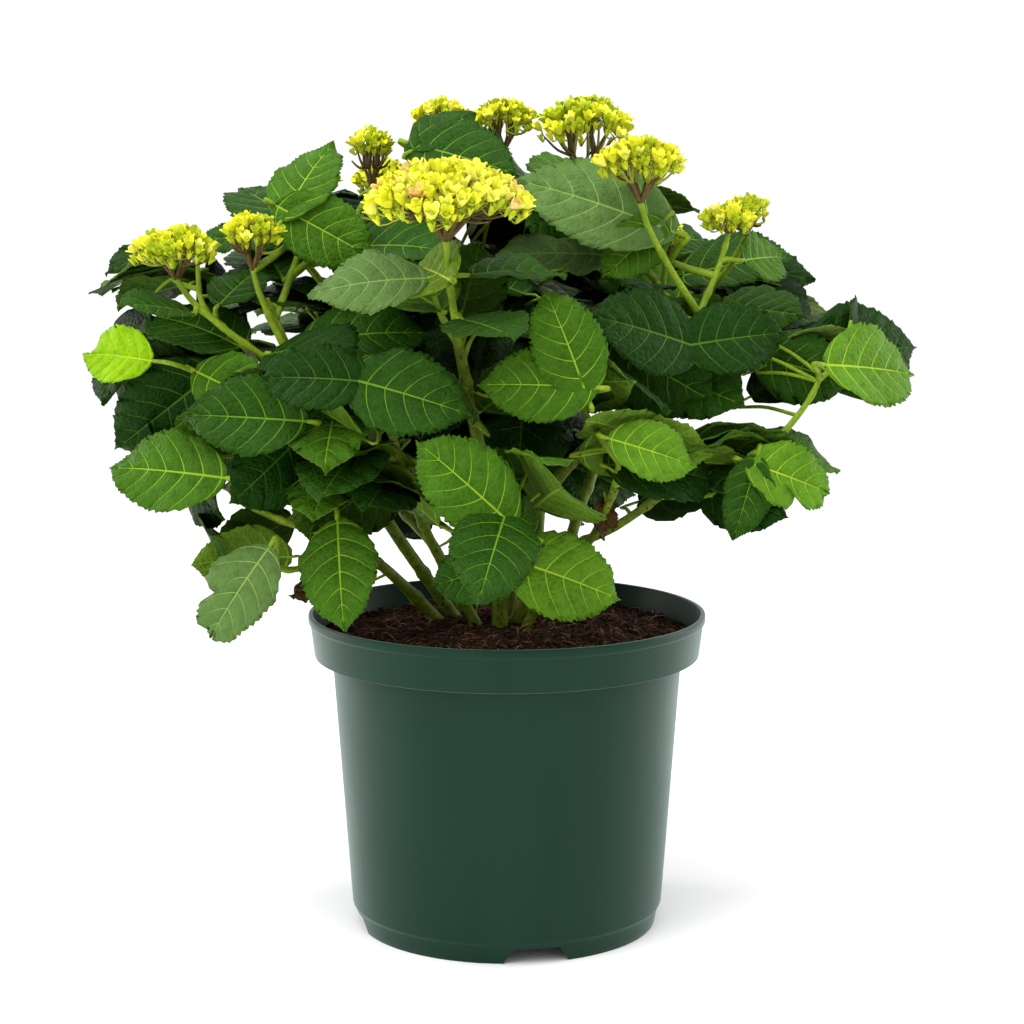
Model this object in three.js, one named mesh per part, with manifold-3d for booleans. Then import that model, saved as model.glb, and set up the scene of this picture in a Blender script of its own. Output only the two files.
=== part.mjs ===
// A leafy hydrangea shrub with budding flower heads, standing in a round nursery pot.
// Millimetres, +Z up. The origin is the middle of the pot's foot, at ground level; -Y is the front.
import * as THREE from "three";
import { mergeVertices } from "three/addons/utils/BufferGeometryUtils.js";
import Module from "manifold-3d";

const wasm = await Module();
wasm.setup();

// ---------------------------------------------------------------- driving dimensions
const POT_HEIGHT = 222.6;
const RIM_RADIUS = 140; // outer edge of the lip
const BAND_BOTTOM = 192.7; // underside of the wide band below the lip
const BAND_RADIUS = 135.7; // outer radius of that band at its lower edge
const WALL_TOP_RADIUS = 123.5; // body where it meets the band
const WALL_FOOT_RADIUS = 110.2; // body where it meets the foot ring
const SEAM_HEIGHT = 15.1; // step between the body and the foot ring
const FOOT_RADIUS = 105.9;
const FOOT_WALL = 2.6;
const WALL = 2.0;
const FLOOR_UNDERSIDE = 12; // the floor is raised inside the foot ring
const FLOOR_TOP = 14.6;
const SLOT_COUNT = 4; // drain slots in the foot ring
const SLOT_TURN = -79; // degrees; the first slot is a little right of the front
const SLOT_WIDE = 46;
const SLOT_NARROW = 32;
const SLOT_HEIGHT = 10.6;
const SOIL_HEIGHT = 209;
const SOIL_EDGE_DROP = 3.5;
const SOIL_BUMP = 1.6;
const STEM_BURIED = 9; // how far each cane goes into the soil
const TURNED_SIDES = 30;
const GAP = 0.4; // clearance between neighbouring solids
const MASS_CLEARANCE = 0.025; // the same between masses, as a share of their size

const CROWN_SIDE = 300; // half width of the crown
const CROWN_DEPTH = 230; // half depth of the crown
const CROWN_TOP = 584;
const CROWN_FOOT = 222; // the lowest leaves reach the pot's lip

const COLOURS = {
  pot: "#24483a",
  soil: "#35241b",
  cane: "#8e9a3a",
  youngCane: "#9bb23f",
  leaf: "#2c5a24",
  freshLeaf: "#4b7d2c",
  head: "#c9d544",
};

// ---------------------------------------------------------------- small helpers
const root = new THREE.Group();
root.name = "potted_hydrangea";

// A closed three.js geometry as a manifold solid, turned outwards if need be.
function solidOf(geometry) {
  const bare = geometry.index ? geometry.toNonIndexed() : geometry.clone();
  bare.deleteAttribute("normal");
  bare.deleteAttribute("uv");
  const merged = mergeVertices(bare, 1e-3);
  const triangles = new Uint32Array(merged.index.array);
  const vertices = merged.attributes.position.array;
  const build = () =>
    new wasm.Manifold(
      new wasm.Mesh({ numProp: 3, vertProperties: vertices, triVerts: triangles }),
    );
  const solid = build();
  if (solid.volume() > 0) return solid;
  for (let i = 0; i < triangles.length; i += 3) {
    [triangles[i + 1], triangles[i + 2]] = [triangles[i + 2], triangles[i + 1]];
  }
  return build();
}

// A named mesh of the part, from a manifold solid.
function addNode(name, solid, colour, roughness) {
  const mesh = solid.getMesh();
  const points = new Float32Array(mesh.numVert * 3);
  for (let i = 0; i < mesh.numVert; i++) {
    const at = i * mesh.numProp;
    points.set(mesh.vertProperties.subarray(at, at + 3), i * 3);
  }
  const geometry = new THREE.BufferGeometry();
  geometry.setAttribute("position", new THREE.BufferAttribute(points, 3));
  geometry.setIndex(new THREE.BufferAttribute(mesh.triVerts.slice(), 1));
  geometry.computeVertexNormals();
  const material = new THREE.MeshStandardMaterial({ color: colour, roughness });
  const node = new THREE.Mesh(geometry, material);
  node.name = name;
  root.add(node);
}

// A solid of revolution about Z from [radius, height] pairs that start and end on the axis.
function turned(profile, segments) {
  const points = profile.map(([radius, height]) => new THREE.Vector2(radius, height));
  return new THREE.LatheGeometry(points, segments).rotateX(Math.PI / 2);
}

// A direction from a turn about Z (0 is +X, 90 is the back) and a rise above the horizon.
function heading(turn, rise) {
  const t = THREE.MathUtils.degToRad(turn);
  const r = THREE.MathUtils.degToRad(rise);
  const flat = Math.cos(r);
  return new THREE.Vector3(Math.cos(t) * flat, Math.sin(t) * flat, Math.sin(r));
}

// Moves every vertex of a geometry with a function of its position.
function reshape(geometry, move) {
  const position = geometry.getAttribute("position");
  const point = new THREE.Vector3();
  for (let i = 0; i < position.count; i++) {
    point.fromBufferAttribute(position, i);
    move(point);
    position.setXYZ(i, point.x, point.y, point.z);
  }
  return geometry;
}

// A copy of a solid grown by a clearance, by scaling it about a point inside it.
function grown(solid, centre, share) {
  return solid
    .translate([-centre.x, -centre.y, -centre.z])
    .scale(1 + share)
    .translate([centre.x, centre.y, centre.z]);
}

// Whether two solids' boxes meet.
function boxesMeet(one, two) {
  const a = one.boundingBox();
  const b = two.boundingBox();
  return [0, 1, 2].every((i) => a.min[i] < b.max[i] && b.min[i] < a.max[i]);
}

// A solid cut back from each of the tools that it meets.
function cutBack(solid, tools) {
  let left = solid;
  for (const tool of tools) {
    if (boxesMeet(left, tool)) left = left.subtract(tool);
  }
  return left;
}

// ---------------------------------------------------------------- pot
const potProfile = [
  [0, FLOOR_UNDERSIDE],
  [FOOT_RADIUS - FOOT_WALL - 0.6, FLOOR_UNDERSIDE],
  [FOOT_RADIUS - FOOT_WALL, 0],
  [FOOT_RADIUS - 0.4, 0],
  [FOOT_RADIUS, 0.6],
  [FOOT_RADIUS + 2.9, SEAM_HEIGHT - 2.6],
  [WALL_FOOT_RADIUS, SEAM_HEIGHT],
  [WALL_TOP_RADIUS, BAND_BOTTOM],
  [BAND_RADIUS - 0.8, BAND_BOTTOM],
  [BAND_RADIUS, BAND_BOTTOM + 1.2],
  [RIM_RADIUS - 1.4, POT_HEIGHT - 6.6],
  [RIM_RADIUS - 0.1, POT_HEIGHT - 5.2],
  [RIM_RADIUS, POT_HEIGHT - 1],
  [RIM_RADIUS - 1, POT_HEIGHT],
  [RIM_RADIUS - 3, POT_HEIGHT],
  [RIM_RADIUS - 3.8, POT_HEIGHT - 1.4],
  [BAND_RADIUS - WALL - 0.6, BAND_BOTTOM + 2.8],
  [WALL_TOP_RADIUS - WALL, BAND_BOTTOM + 2.2],
  [WALL_FOOT_RADIUS - WALL, SEAM_HEIGHT + 2.4],
  [WALL_FOOT_RADIUS - WALL - 2, FLOOR_TOP],
  [0, FLOOR_TOP],
];

// One drain slot: a trapezoid, wide at the ground, cut through the foot ring.
function drainSlot(turn) {
  const outline = new THREE.Shape();
  outline.moveTo(-SLOT_WIDE / 2, -1);
  outline.lineTo(SLOT_WIDE / 2, -1);
  outline.lineTo(SLOT_NARROW / 2, SLOT_HEIGHT);
  outline.lineTo(-SLOT_NARROW / 2, SLOT_HEIGHT);
  outline.closePath();
  const geometry = new THREE.ExtrudeGeometry(outline, { depth: 30, bevelEnabled: false });
  geometry.rotateX(Math.PI / 2);
  geometry.rotateZ(Math.PI / 2);
  geometry.translate(FOOT_RADIUS - 20, 0, 0);
  geometry.rotateZ(THREE.MathUtils.degToRad(turn));
  return solidOf(geometry);
}

let pot = solidOf(turned(potProfile, TURNED_SIDES));
for (let i = 0; i < SLOT_COUNT; i++) {
  pot = pot.subtract(drainSlot(SLOT_TURN + (360 / SLOT_COUNT) * i));
}
addNode("pot", pot, COLOURS.pot, 0.42);

// ---------------------------------------------------------------- masses of foliage
// Each mass is a lumpy closed solid: centre and half sizes as [side, depth, height], and the
// leaf tips it reaches as points of the same kind.
const MASSES = {
  foliage_core: { at: [-4, 34, 392], size: [78, 78, 74] },
  foliage_front_upper: { at: [-52, -92, 462], size: [68, 50, 44], tips: [[-114, -150, 458]] },
  foliage_front_left: { at: [-98, -104, 394], size: [58, 38, 38], tips: [[-40, -150, 370]] },
  foliage_front_right: { at: [36, -112, 396], size: [58, 34, 54], tips: [[90, -150, 436]] },
  foliage_front_low: { at: [-10, -146, 322], size: [52, 38, 40], tips: [[-5, -230, 292]] },
  foliage_front_skirt: { at: [4, -98, 266], size: [60, 26, 30], tips: [[20, -102, 226], [78, -80, 254]] },
  foliage_left_skirt: { at: [-108, -62, 300], size: [38, 38, 42], tips: [[-92, -96, 226]] },
  foliage_left_inner: { at: [-160, -92, 368], size: [48, 38, 38], tips: [[-96, -132, 398]] },
  foliage_left_middle: { at: [-222, -6, 388], size: [60, 56, 36], tips: [[-300, 0, 396]] },
  foliage_left_low: { at: [-214, -34, 332], size: [52, 44, 24], tips: [[-282, -40, 320], [-168, -70, 296]] },
  foliage_left_hanging: {
    at: [-172, -80, 276],
    size: [36, 32, 22],
    tips: [[-196, -120, 222], [-222, -62, 272]],
  },
  foliage_left_upper: { at: [-218, 22, 444], size: [54, 52, 27], tips: [[-290, 6, 466], [-190, 20, 486]] },
  foliage_left_top: { at: [-130, 24, 486], size: [62, 58, 44], tips: [[-164, 34, 566]] },
  foliage_top: { at: [-42, 58, 536], size: [68, 58, 38], tips: [[-78, 96, 584]] },
  foliage_right_top: { at: [68, 10, 488], size: [68, 56, 42], tips: [[154, 20, 508], [4, -8, 526]] },
  foliage_right_upper: { at: [164, 24, 464], size: [48, 48, 24], tips: [[216, 20, 484]] },
  foliage_right_middle: { at: [128, -34, 418], size: [56, 50, 36], tips: [[74, -116, 452], [166, 0, 366]] },
  foliage_right_far: { at: [222, -20, 410], size: [44, 48, 28], tips: [[300, -40, 398], [200, -60, 450]] },
  foliage_right_low: { at: [160, -56, 330], size: [44, 38, 28], tips: [[230, -64, 322], [156, -66, 270]] },
  foliage_right_front: { at: [84, -98, 346], size: [48, 34, 30], tips: [[34, -124, 322]] },
  foliage_back_left_low: { at: [-122, 104, 312], size: [50, 54, 38], tips: [[-140, 174, 286]] },
  foliage_back_low: { at: [-6, 146, 306], size: [78, 52, 46], tips: [[-2, 230, 274]] },
  foliage_back_left: { at: [-152, 116, 398], size: [72, 64, 46], tips: [[-234, 160, 380]] },
  foliage_back_left_top: { at: [-106, 118, 478], size: [60, 54, 38], tips: [[-152, 172, 488]] },
  foliage_back: { at: [0, 154, 418], size: [82, 62, 56], tips: [[6, 230, 432]] },
  foliage_back_top: { at: [24, 122, 506], size: [70, 56, 38], tips: [[42, 188, 520]] },
  foliage_back_right: { at: [134, 112, 434], size: [68, 62, 44], tips: [[220, 160, 442], [152, 204, 404]] },
};

// A unit ball pushed out to the mass's sizes, drawn out towards its tips and made uneven.
function foliageMass(spec, seed) {
  const centre = new THREE.Vector3(...spec.at);
  const size = new THREE.Vector3(...spec.size);
  const tips = (spec.tips ?? []).map((tip) => {
    const reach = new THREE.Vector3(...tip).sub(centre);
    const aim = reach.clone().normalize();
    const surface = 1 / aim.clone().divide(size).length();
    return { aim, extra: reach.length() - surface };
  });
  const ball = new THREE.IcosahedronGeometry(1, 2);
  ball.rotateZ(seed * 1.7);
  reshape(ball, (point) => {
    const aim = point.clone().normalize();
    const waves =
      0.07 * Math.sin(4.1 * aim.x + 1.9 * seed) +
      0.06 * Math.sin(5.3 * aim.y + 2.6 * seed) +
      0.06 * Math.sin(4.7 * aim.z + 0.8 * seed);
    let reach = (1 + waves) / aim.clone().divide(size).length();
    for (const tip of tips) {
      reach += tip.extra * Math.exp(-9 * (1 - aim.dot(tip.aim)));
    }
    point.copy(aim.multiplyScalar(reach)).add(centre);
    point.x = THREE.MathUtils.clamp(point.x, -CROWN_SIDE, CROWN_SIDE);
    point.y = THREE.MathUtils.clamp(point.y, -CROWN_DEPTH, CROWN_DEPTH);
    point.z = THREE.MathUtils.clamp(point.z, CROWN_FOOT, CROWN_TOP);
  });
  return { centre, solid: solidOf(ball) };
}

const masses = [];
const massTools = []; // the masses grown a little, to cut what they meet
Object.entries(MASSES).forEach(([name, spec], seed) => {
  const { centre, solid } = foliageMass(spec, seed + 1);
  const cut = cutBack(solid, massTools);
  masses.push({ name, solid: cut });
  massTools.push(grown(cut, centre, MASS_CLEARANCE));
});

// ---------------------------------------------------------------- flower heads
// A flat-topped head of buds on spreading stalks: centre, radius and height of the dome, and
// the point where its stalks meet.
const HEADS = {
  head_front: { at: [-43, -122, 512], radius: 50, dome: 27, stalk: [-42, -118, 482] },
  head_left_outer: { at: [-226, -20, 476], radius: 28, dome: 16, stalk: [-210, -10, 448] },
  head_left_inner: { at: [-172, -12, 484], radius: 22, dome: 18, stalk: [-168, -12, 462] },
  head_left_back: { at: [-141, 70, 522], radius: 20, dome: 12, stalk: [-139, 70, 498] },
  head_upper_left: { at: [-95, 90, 542], radius: 18, dome: 18, stalk: [-92, 92, 516] },
  head_top_left: { at: [-49, 122, 568], radius: 20, dome: 12, stalk: [-46, 122, 546] },
  head_top: { at: [-4, 122, 566], radius: 23, dome: 14, stalk: [-2, 122, 542] },
  head_top_right: { at: [53, 60, 562], radius: 33, dome: 19, stalk: [50, 60, 520] },
  head_right_centre: { at: [91, -30, 533], radius: 31, dome: 20, stalk: [86, -28, 500] },
  head_right_outer: { at: [143, 10, 494], radius: 22, dome: 14, stalk: [138, 10, 474] },
  head_right_back: { at: [172, 72, 501], radius: 17, dome: 11, stalk: [170, 72, 482] },
  head_right_inner: { at: [116, 84, 482], radius: 13, dome: 9, stalk: [115, 84, 466] },
  head_back_left: { at: [-92, 176, 520], radius: 26, dome: 15, stalk: [-90, 174, 496] },
  head_back_right: { at: [86, 172, 524], radius: 28, dome: 16, stalk: [84, 170, 498] },
};
const HEAD_PROFILE = [
  [0, 0],
  [0.09, 0],
  [0.62, 0.66],
  [1, 0.92],
  [0.9, 1.22],
  [0.45, 1.44],
  [0, 1.5],
];

// A head is turned from its stalk's foot to its domed top, then leaned and made uneven.
function flowerHead(spec, seed) {
  const centre = new THREE.Vector3(...spec.at);
  const foot = new THREE.Vector3(...spec.stalk);
  const rise = centre.z - foot.z;
  const crownRise = spec.dome / 0.5;
  const geometry = turned(
    HEAD_PROFILE.map(([across, up]) => [
      across * spec.radius,
      up <= 1 ? up * rise : rise + (up - 1) * crownRise,
    ]),
    8,
  );
  reshape(geometry, (point) => {
    const turn = Math.atan2(point.y, point.x);
    const ripple = 0.06 * Math.sin(3 * turn + seed) + 0.04 * Math.sin(5 * turn + 2 * seed);
    const uneven = 1 + ripple;
    const share = point.z / rise;
    point.x = point.x * uneven + foot.x + (centre.x - foot.x) * share;
    point.y = point.y * uneven + foot.y + (centre.y - foot.y) * share;
    point.z = Math.min(point.z + foot.z, CROWN_TOP);
  });
  return solidOf(geometry);
}

const heads = [];
Object.entries(HEADS).forEach(([name, spec], seed) => {
  heads.push({ name, solid: cutBack(flowerHead(spec, seed + 1), massTools) });
});

// ---------------------------------------------------------------- canes
// Each cane leans out from its foot in the soil: foot as [side, depth], then its bends and the
// point inside a mass where it ends as [side, depth, height]; thick is its radius at foot and tip.
const CANES = {
  cane_centre: {
    foot: [-5, 4],
    bends: [[-4, -14, 258], [-19, -66, 350], [-37, -84, 442]],
    thick: [5.8, 4.4],
  },
  cane_tall: {
    foot: [2, 34],
    bends: [[12, 28, 272], [30, 24, 340]],
    thick: [5, 4],
  },
  cane_right: {
    foot: [14, 16],
    bends: [[30, 4, 308], [78, 0, 359], [118, -4, 400]],
    thick: [4.6, 3.6],
  },
  cane_right_low: {
    foot: [4, 12],
    bends: [[22, -8, 253], [78, -28, 289], [131, -40, 328]],
    thick: [4.4, 3.4],
  },
  cane_left: {
    foot: [-38, 48],
    bends: [[-76, 20, 270], [-113, 4, 335], [-144, -4, 391], [-166, -9, 442]],
    thick: [5, 3.8],
  },
  cane_left_low: {
    foot: [-50, 36],
    bends: [[-74, 10, 240], [-100, -26, 268], [-120, -52, 278]],
    thick: [4.8, 4],
  },
  cane_front_left: {
    foot: [-21, 14],
    bends: [[-42, 0, 250], [-62, -30, 300], [-84, -88, 384]],
    thick: [4.4, 3],
  },
  cane_front_right: {
    foot: [12, -2],
    bends: [[24, -14, 236], [56, -52, 280], [80, -92, 340]],
    thick: [3.6, 2.8],
  },
  cane_back_left: {
    foot: [-30, 70],
    bends: [[-64, 80, 270], [-110, 96, 306]],
    thick: [4.8, 3.8],
  },
  cane_back: {
    foot: [-4, 78],
    bends: [[-6, 104, 262], [-6, 136, 300]],
    thick: [4.8, 3.8],
  },
  cane_back_right: {
    foot: [32, 56],
    bends: [[58, 72, 300], [112, 104, 414]],
    thick: [4.8, 3.6],
  },
};
const CANE_SIDES = 6;
const CANE_RINGS = 6;

// A round limb that tapers along a smooth path; its foot is flattened later.
function limb(path, thickFoot, thickTip) {
  const frames = path.computeFrenetFrames(CANE_RINGS, false);
  const tube = new THREE.CylinderGeometry(1, 1, 1, CANE_SIDES, CANE_RINGS);
  tube.rotateX(Math.PI / 2);
  reshape(tube, (point) => {
    const ring = Math.round((point.z + 0.5) * CANE_RINGS);
    const share = ring / CANE_RINGS;
    const radius = THREE.MathUtils.lerp(thickFoot, thickTip, share);
    const across = point.x * radius;
    const along = point.y * radius;
    path.getPointAt(share, point);
    point.addScaledVector(frames.normals[ring], across);
    point.addScaledVector(frames.binormals[ring], along);
  });
  return solidOf(tube);
}

// The cane's path from a point under the soil through its bends.
function canePath(spec) {
  const first = new THREE.Vector3(...spec.bends[0]);
  const foot = new THREE.Vector3(spec.foot[0], spec.foot[1], SOIL_HEIGHT);
  const lean = foot.clone().sub(first).normalize();
  const below = foot.clone().addScaledVector(lean, STEM_BURIED * 2);
  const bends = spec.bends.map((bend) => new THREE.Vector3(...bend));
  return new THREE.CatmullRomCurve3([below, foot, ...bends], false, "centripetal");
}

// Everything below the level where the canes are cut flat.
function belowStems(extra) {
  const depth = 60;
  const block = new THREE.BoxGeometry(400, 400, depth);
  block.translate(0, 0, SOIL_HEIGHT - STEM_BURIED - extra - depth / 2);
  return solidOf(block);
}

const canes = [];
const holes = [];
for (const [name, spec] of Object.entries(CANES)) {
  const path = canePath(spec);
  const [thickFoot, thickTip] = spec.thick;
  const solid = limb(path, thickFoot, thickTip).subtract(belowStems(0));
  canes.push({ name, solid: cutBack(solid, massTools) });
  holes.push(limb(path, thickFoot + GAP, thickTip + GAP).subtract(belowStems(GAP)));
}

// ---------------------------------------------------------------- soil
const soilFloor = FLOOR_TOP + GAP;
const soilSide = WALL + GAP;
const soilProfile = [
  [0, soilFloor],
  [WALL_FOOT_RADIUS - soilSide - 2, soilFloor],
  [WALL_FOOT_RADIUS - soilSide, SEAM_HEIGHT + 3],
  [WALL_TOP_RADIUS - soilSide, BAND_BOTTOM + 2.8],
  [BAND_RADIUS - soilSide - 1.2, BAND_BOTTOM + 3.4],
  [BAND_RADIUS - soilSide, SOIL_HEIGHT - SOIL_EDGE_DROP],
  [BAND_RADIUS * 0.55, SOIL_HEIGHT],
  [0, SOIL_HEIGHT],
];

const soilShape = reshape(turned(soilProfile, TURNED_SIDES), (point) => {
  if (point.z < SOIL_HEIGHT - SOIL_EDGE_DROP - 0.1) return;
  const across = Math.hypot(point.x, point.y);
  const inside = Math.min(1, (BAND_RADIUS - across) / 30);
  point.z += SOIL_BUMP * inside * Math.sin(point.x / 17) * Math.cos(point.y / 13);
});
let soil = solidOf(soilShape);
for (const hole of holes) soil = soil.subtract(hole);

// ---------------------------------------------------------------- the part
addNode("soil", soil, COLOURS.soil, 0.95);
for (const { name, solid } of canes) addNode(name, solid, COLOURS.cane, 0.6);
for (const { name, solid } of masses) addNode(name, solid, COLOURS.leaf, 0.55);
for (const { name, solid } of heads) addNode(name, solid, COLOURS.head, 0.6);

export default root;
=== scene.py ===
"""A potted hydrangea shrub: nursery pot, compost, canes, leaves and budding flower heads, in metres."""

import math
import random

import bmesh
import bpy
import numpy as np
from mathutils import Matrix, Vector, noise


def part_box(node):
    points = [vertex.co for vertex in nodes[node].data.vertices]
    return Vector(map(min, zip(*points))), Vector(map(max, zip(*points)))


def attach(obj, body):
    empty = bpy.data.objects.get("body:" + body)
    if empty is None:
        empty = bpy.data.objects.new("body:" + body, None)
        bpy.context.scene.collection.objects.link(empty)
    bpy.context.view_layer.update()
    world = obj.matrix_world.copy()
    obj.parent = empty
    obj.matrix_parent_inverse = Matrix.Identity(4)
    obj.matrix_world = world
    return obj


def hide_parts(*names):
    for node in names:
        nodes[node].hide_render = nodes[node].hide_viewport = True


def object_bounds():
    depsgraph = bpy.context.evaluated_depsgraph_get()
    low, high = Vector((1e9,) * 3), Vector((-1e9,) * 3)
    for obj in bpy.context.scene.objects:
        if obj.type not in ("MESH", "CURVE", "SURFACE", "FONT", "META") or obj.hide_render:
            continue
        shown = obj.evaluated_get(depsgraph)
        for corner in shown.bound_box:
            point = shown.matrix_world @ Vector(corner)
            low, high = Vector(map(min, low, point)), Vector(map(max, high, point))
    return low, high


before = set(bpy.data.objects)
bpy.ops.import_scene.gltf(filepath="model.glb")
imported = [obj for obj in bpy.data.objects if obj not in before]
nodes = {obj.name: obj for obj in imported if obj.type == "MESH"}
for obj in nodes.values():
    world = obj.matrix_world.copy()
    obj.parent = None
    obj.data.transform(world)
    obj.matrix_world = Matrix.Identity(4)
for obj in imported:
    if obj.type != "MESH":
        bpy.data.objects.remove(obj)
cad_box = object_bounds()
MM = 0.001
FULL_TURN = 6.28
rng = random.Random(41)

MASS_NODES = sorted(n for n in nodes if n.startswith("foliage_"))
HEAD_NODES = sorted(n for n in nodes if n.startswith("head_"))
CANE_NODES = sorted(n for n in nodes if n.startswith("cane_"))


# ------------------------------------------------------------------ materials
def group(name, inputs, outputs, build):
    """A shader node group with named sockets, made once."""
    tree = bpy.data.node_groups.new(name, "ShaderNodeTree")
    for label, kind, value in inputs:
        socket = tree.interface.new_socket(label, in_out="INPUT", socket_type=kind)
        if value is not None:
            socket.default_value = value
    for label, kind in outputs:
        tree.interface.new_socket(label, in_out="OUTPUT", socket_type=kind)
    inlet = tree.nodes.new("NodeGroupInput")
    outlet = tree.nodes.new("NodeGroupOutput")
    build(tree, inlet, outlet)
    return tree


def link(tree, out, into):
    """Joins two sockets."""
    tree.links.new(out, into)


NOISE_ROUGHNESS = 0.55


def noise_node(tree, vector, scale, detail):
    """A noise texture at a scale."""
    n = tree.nodes.new("ShaderNodeTexNoise")
    n.inputs["Scale"].default_value = scale
    n.inputs["Detail"].default_value = detail
    n.inputs["Roughness"].default_value = NOISE_ROUGHNESS
    link(tree, vector, n.inputs["Vector"])
    return n


def ramp(tree, value, low, high, out_low=0.0, out_high=1.0):
    """Maps a value from one range to another."""
    n = tree.nodes.new("ShaderNodeMapRange")
    n.inputs["From Min"].default_value = low
    n.inputs["From Max"].default_value = high
    n.inputs["To Min"].default_value = out_low
    n.inputs["To Max"].default_value = out_high
    link(tree, value, n.inputs["Value"])
    return n.outputs["Result"]


def mix_colour(tree, factor, a, b):
    """Mixes two colours, each a socket or a plain colour."""
    n = tree.nodes.new("ShaderNodeMix")
    n.data_type = "RGBA"
    link(tree, factor, n.inputs["Factor"])
    for value, socket in ((a, n.inputs[6]), (b, n.inputs[7])):
        if hasattr(value, "links"):
            link(tree, value, socket)
        else:
            socket.default_value = (*value, 1.0)
    return n.outputs[2]


def build_mottle(tree, inlet, outlet):
    """Two sizes of soft blotches between three tones."""
    coords = tree.nodes.new("ShaderNodeTexCoord")
    scaled = tree.nodes.new("ShaderNodeVectorMath")
    scaled.operation = "SCALE"
    link(tree, coords.outputs["Object"], scaled.inputs[0])
    link(tree, inlet.outputs["Scale"], scaled.inputs["Scale"])
    broad = noise_node(tree, scaled.outputs[0], 1.0, 2.0)
    fine = noise_node(tree, scaled.outputs[0], 5.3, 4.0)
    first = mix_colour(
        tree,
        ramp(tree, broad.outputs["Fac"], 0.35, 0.65),
        inlet.outputs["Tone"],
        inlet.outputs["Light"],
    )
    second = mix_colour(
        tree, ramp(tree, fine.outputs["Fac"], 0.48, 0.72), first, inlet.outputs["Dark"]
    )
    link(tree, second, outlet.inputs["Color"])
    link(tree, fine.outputs["Fac"], outlet.inputs["Height"])


MOTTLE = group(
    "mottle",
    [
        ("Tone", "NodeSocketColor", (0.1, 0.2, 0.05, 1)),
        ("Light", "NodeSocketColor", (0.2, 0.3, 0.1, 1)),
        ("Dark", "NodeSocketColor", (0.05, 0.1, 0.02, 1)),
        ("Scale", "NodeSocketFloat", 30.0),
    ],
    [("Color", "NodeSocketColor"), ("Height", "NodeSocketFloat")],
    build_mottle,
)


def build_leaf(tree, inlet, outlet):
    """Blade colour: soft blotches under a fine net of small veins, with the net's relief."""
    coords = tree.nodes.new("ShaderNodeTexCoord")
    mottle = tree.nodes.new("ShaderNodeGroup")
    mottle.node_tree = MOTTLE
    for label in ("Tone", "Light", "Dark"):
        link(tree, inlet.outputs[label], mottle.inputs[label])
    mottle.inputs["Scale"].default_value = 24.0
    warp = noise_node(tree, coords.outputs["Object"], 160.0, 2.0)
    bent = tree.nodes.new("ShaderNodeVectorMath")
    bent.operation = "MULTIPLY_ADD"
    bent.inputs[1].default_value = (0.004, 0.004, 0.004)
    link(tree, warp.outputs["Color"], bent.inputs[0])
    link(tree, coords.outputs["Object"], bent.inputs[2])
    net = tree.nodes.new("ShaderNodeTexVoronoi")
    net.feature = "DISTANCE_TO_EDGE"
    net.inputs["Scale"].default_value = 210.0
    link(tree, bent.outputs["Vector"], net.inputs["Vector"])
    thread = ramp(tree, net.outputs["Distance"], 0.0, 0.09, 1.0, 0.0)
    faint = tree.nodes.new("ShaderNodeMath")
    faint.operation = "MULTIPLY"
    link(tree, thread, faint.inputs[0])
    link(tree, inlet.outputs["Net"], faint.inputs[1])
    veined = mix_colour(tree, faint.outputs["Value"], mottle.outputs["Color"], inlet.outputs["Vein"])
    link(tree, veined, outlet.inputs["Color"])
    link(tree, ramp(tree, net.outputs["Distance"], 0.0, 0.3), outlet.inputs["Height"])


LEAF = group(
    "leaf",
    [
        ("Tone", "NodeSocketColor", (0.1, 0.2, 0.05, 1)),
        ("Light", "NodeSocketColor", (0.2, 0.3, 0.1, 1)),
        ("Dark", "NodeSocketColor", (0.05, 0.1, 0.02, 1)),
        ("Vein", "NodeSocketColor", (0.2, 0.3, 0.1, 1)),
        ("Net", "NodeSocketFloat", 0.3),
    ],
    [("Color", "NodeSocketColor"), ("Height", "NodeSocketFloat")],
    build_leaf,
)


def new_material(name, roughness=0.5, specular=0.5):
    """A new material with its tree and its shader."""
    material = bpy.data.materials.new(name)
    material.use_nodes = True
    tree = material.node_tree
    shader = tree.nodes["Principled BSDF"]
    shader.inputs["Roughness"].default_value = roughness
    shader.inputs["Specular IOR Level"].default_value = specular
    return material, tree, shader


def shade(colour, share):
    """A colour made darker or lighter by a share."""
    return tuple(max(0.0, min(1.0, c * share)) for c in colour)


def mottled(name, tone, scale, contrast=0.22, roughness=0.5, specular=0.5, relief=0.0, light=None):
    """A finish whose colour drifts between a tone and lighter and darker ones."""
    material, tree, shader = new_material(name, roughness, specular)
    g = tree.nodes.new("ShaderNodeGroup")
    g.node_tree = MOTTLE
    g.inputs["Tone"].default_value = (*tone, 1)
    g.inputs["Light"].default_value = (*(light or shade(tone, 1 + contrast)), 1)
    g.inputs["Dark"].default_value = (*shade(tone, 1 - contrast), 1)
    g.inputs["Scale"].default_value = scale
    link(tree, g.outputs["Color"], shader.inputs["Base Color"])
    if relief:
        bump = tree.nodes.new("ShaderNodeBump")
        bump.inputs["Strength"].default_value = 0.6
        bump.inputs["Distance"].default_value = relief
        link(tree, g.outputs["Height"], bump.inputs["Height"])
        link(tree, bump.outputs["Normal"], shader.inputs["Normal"])
    return material


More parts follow.
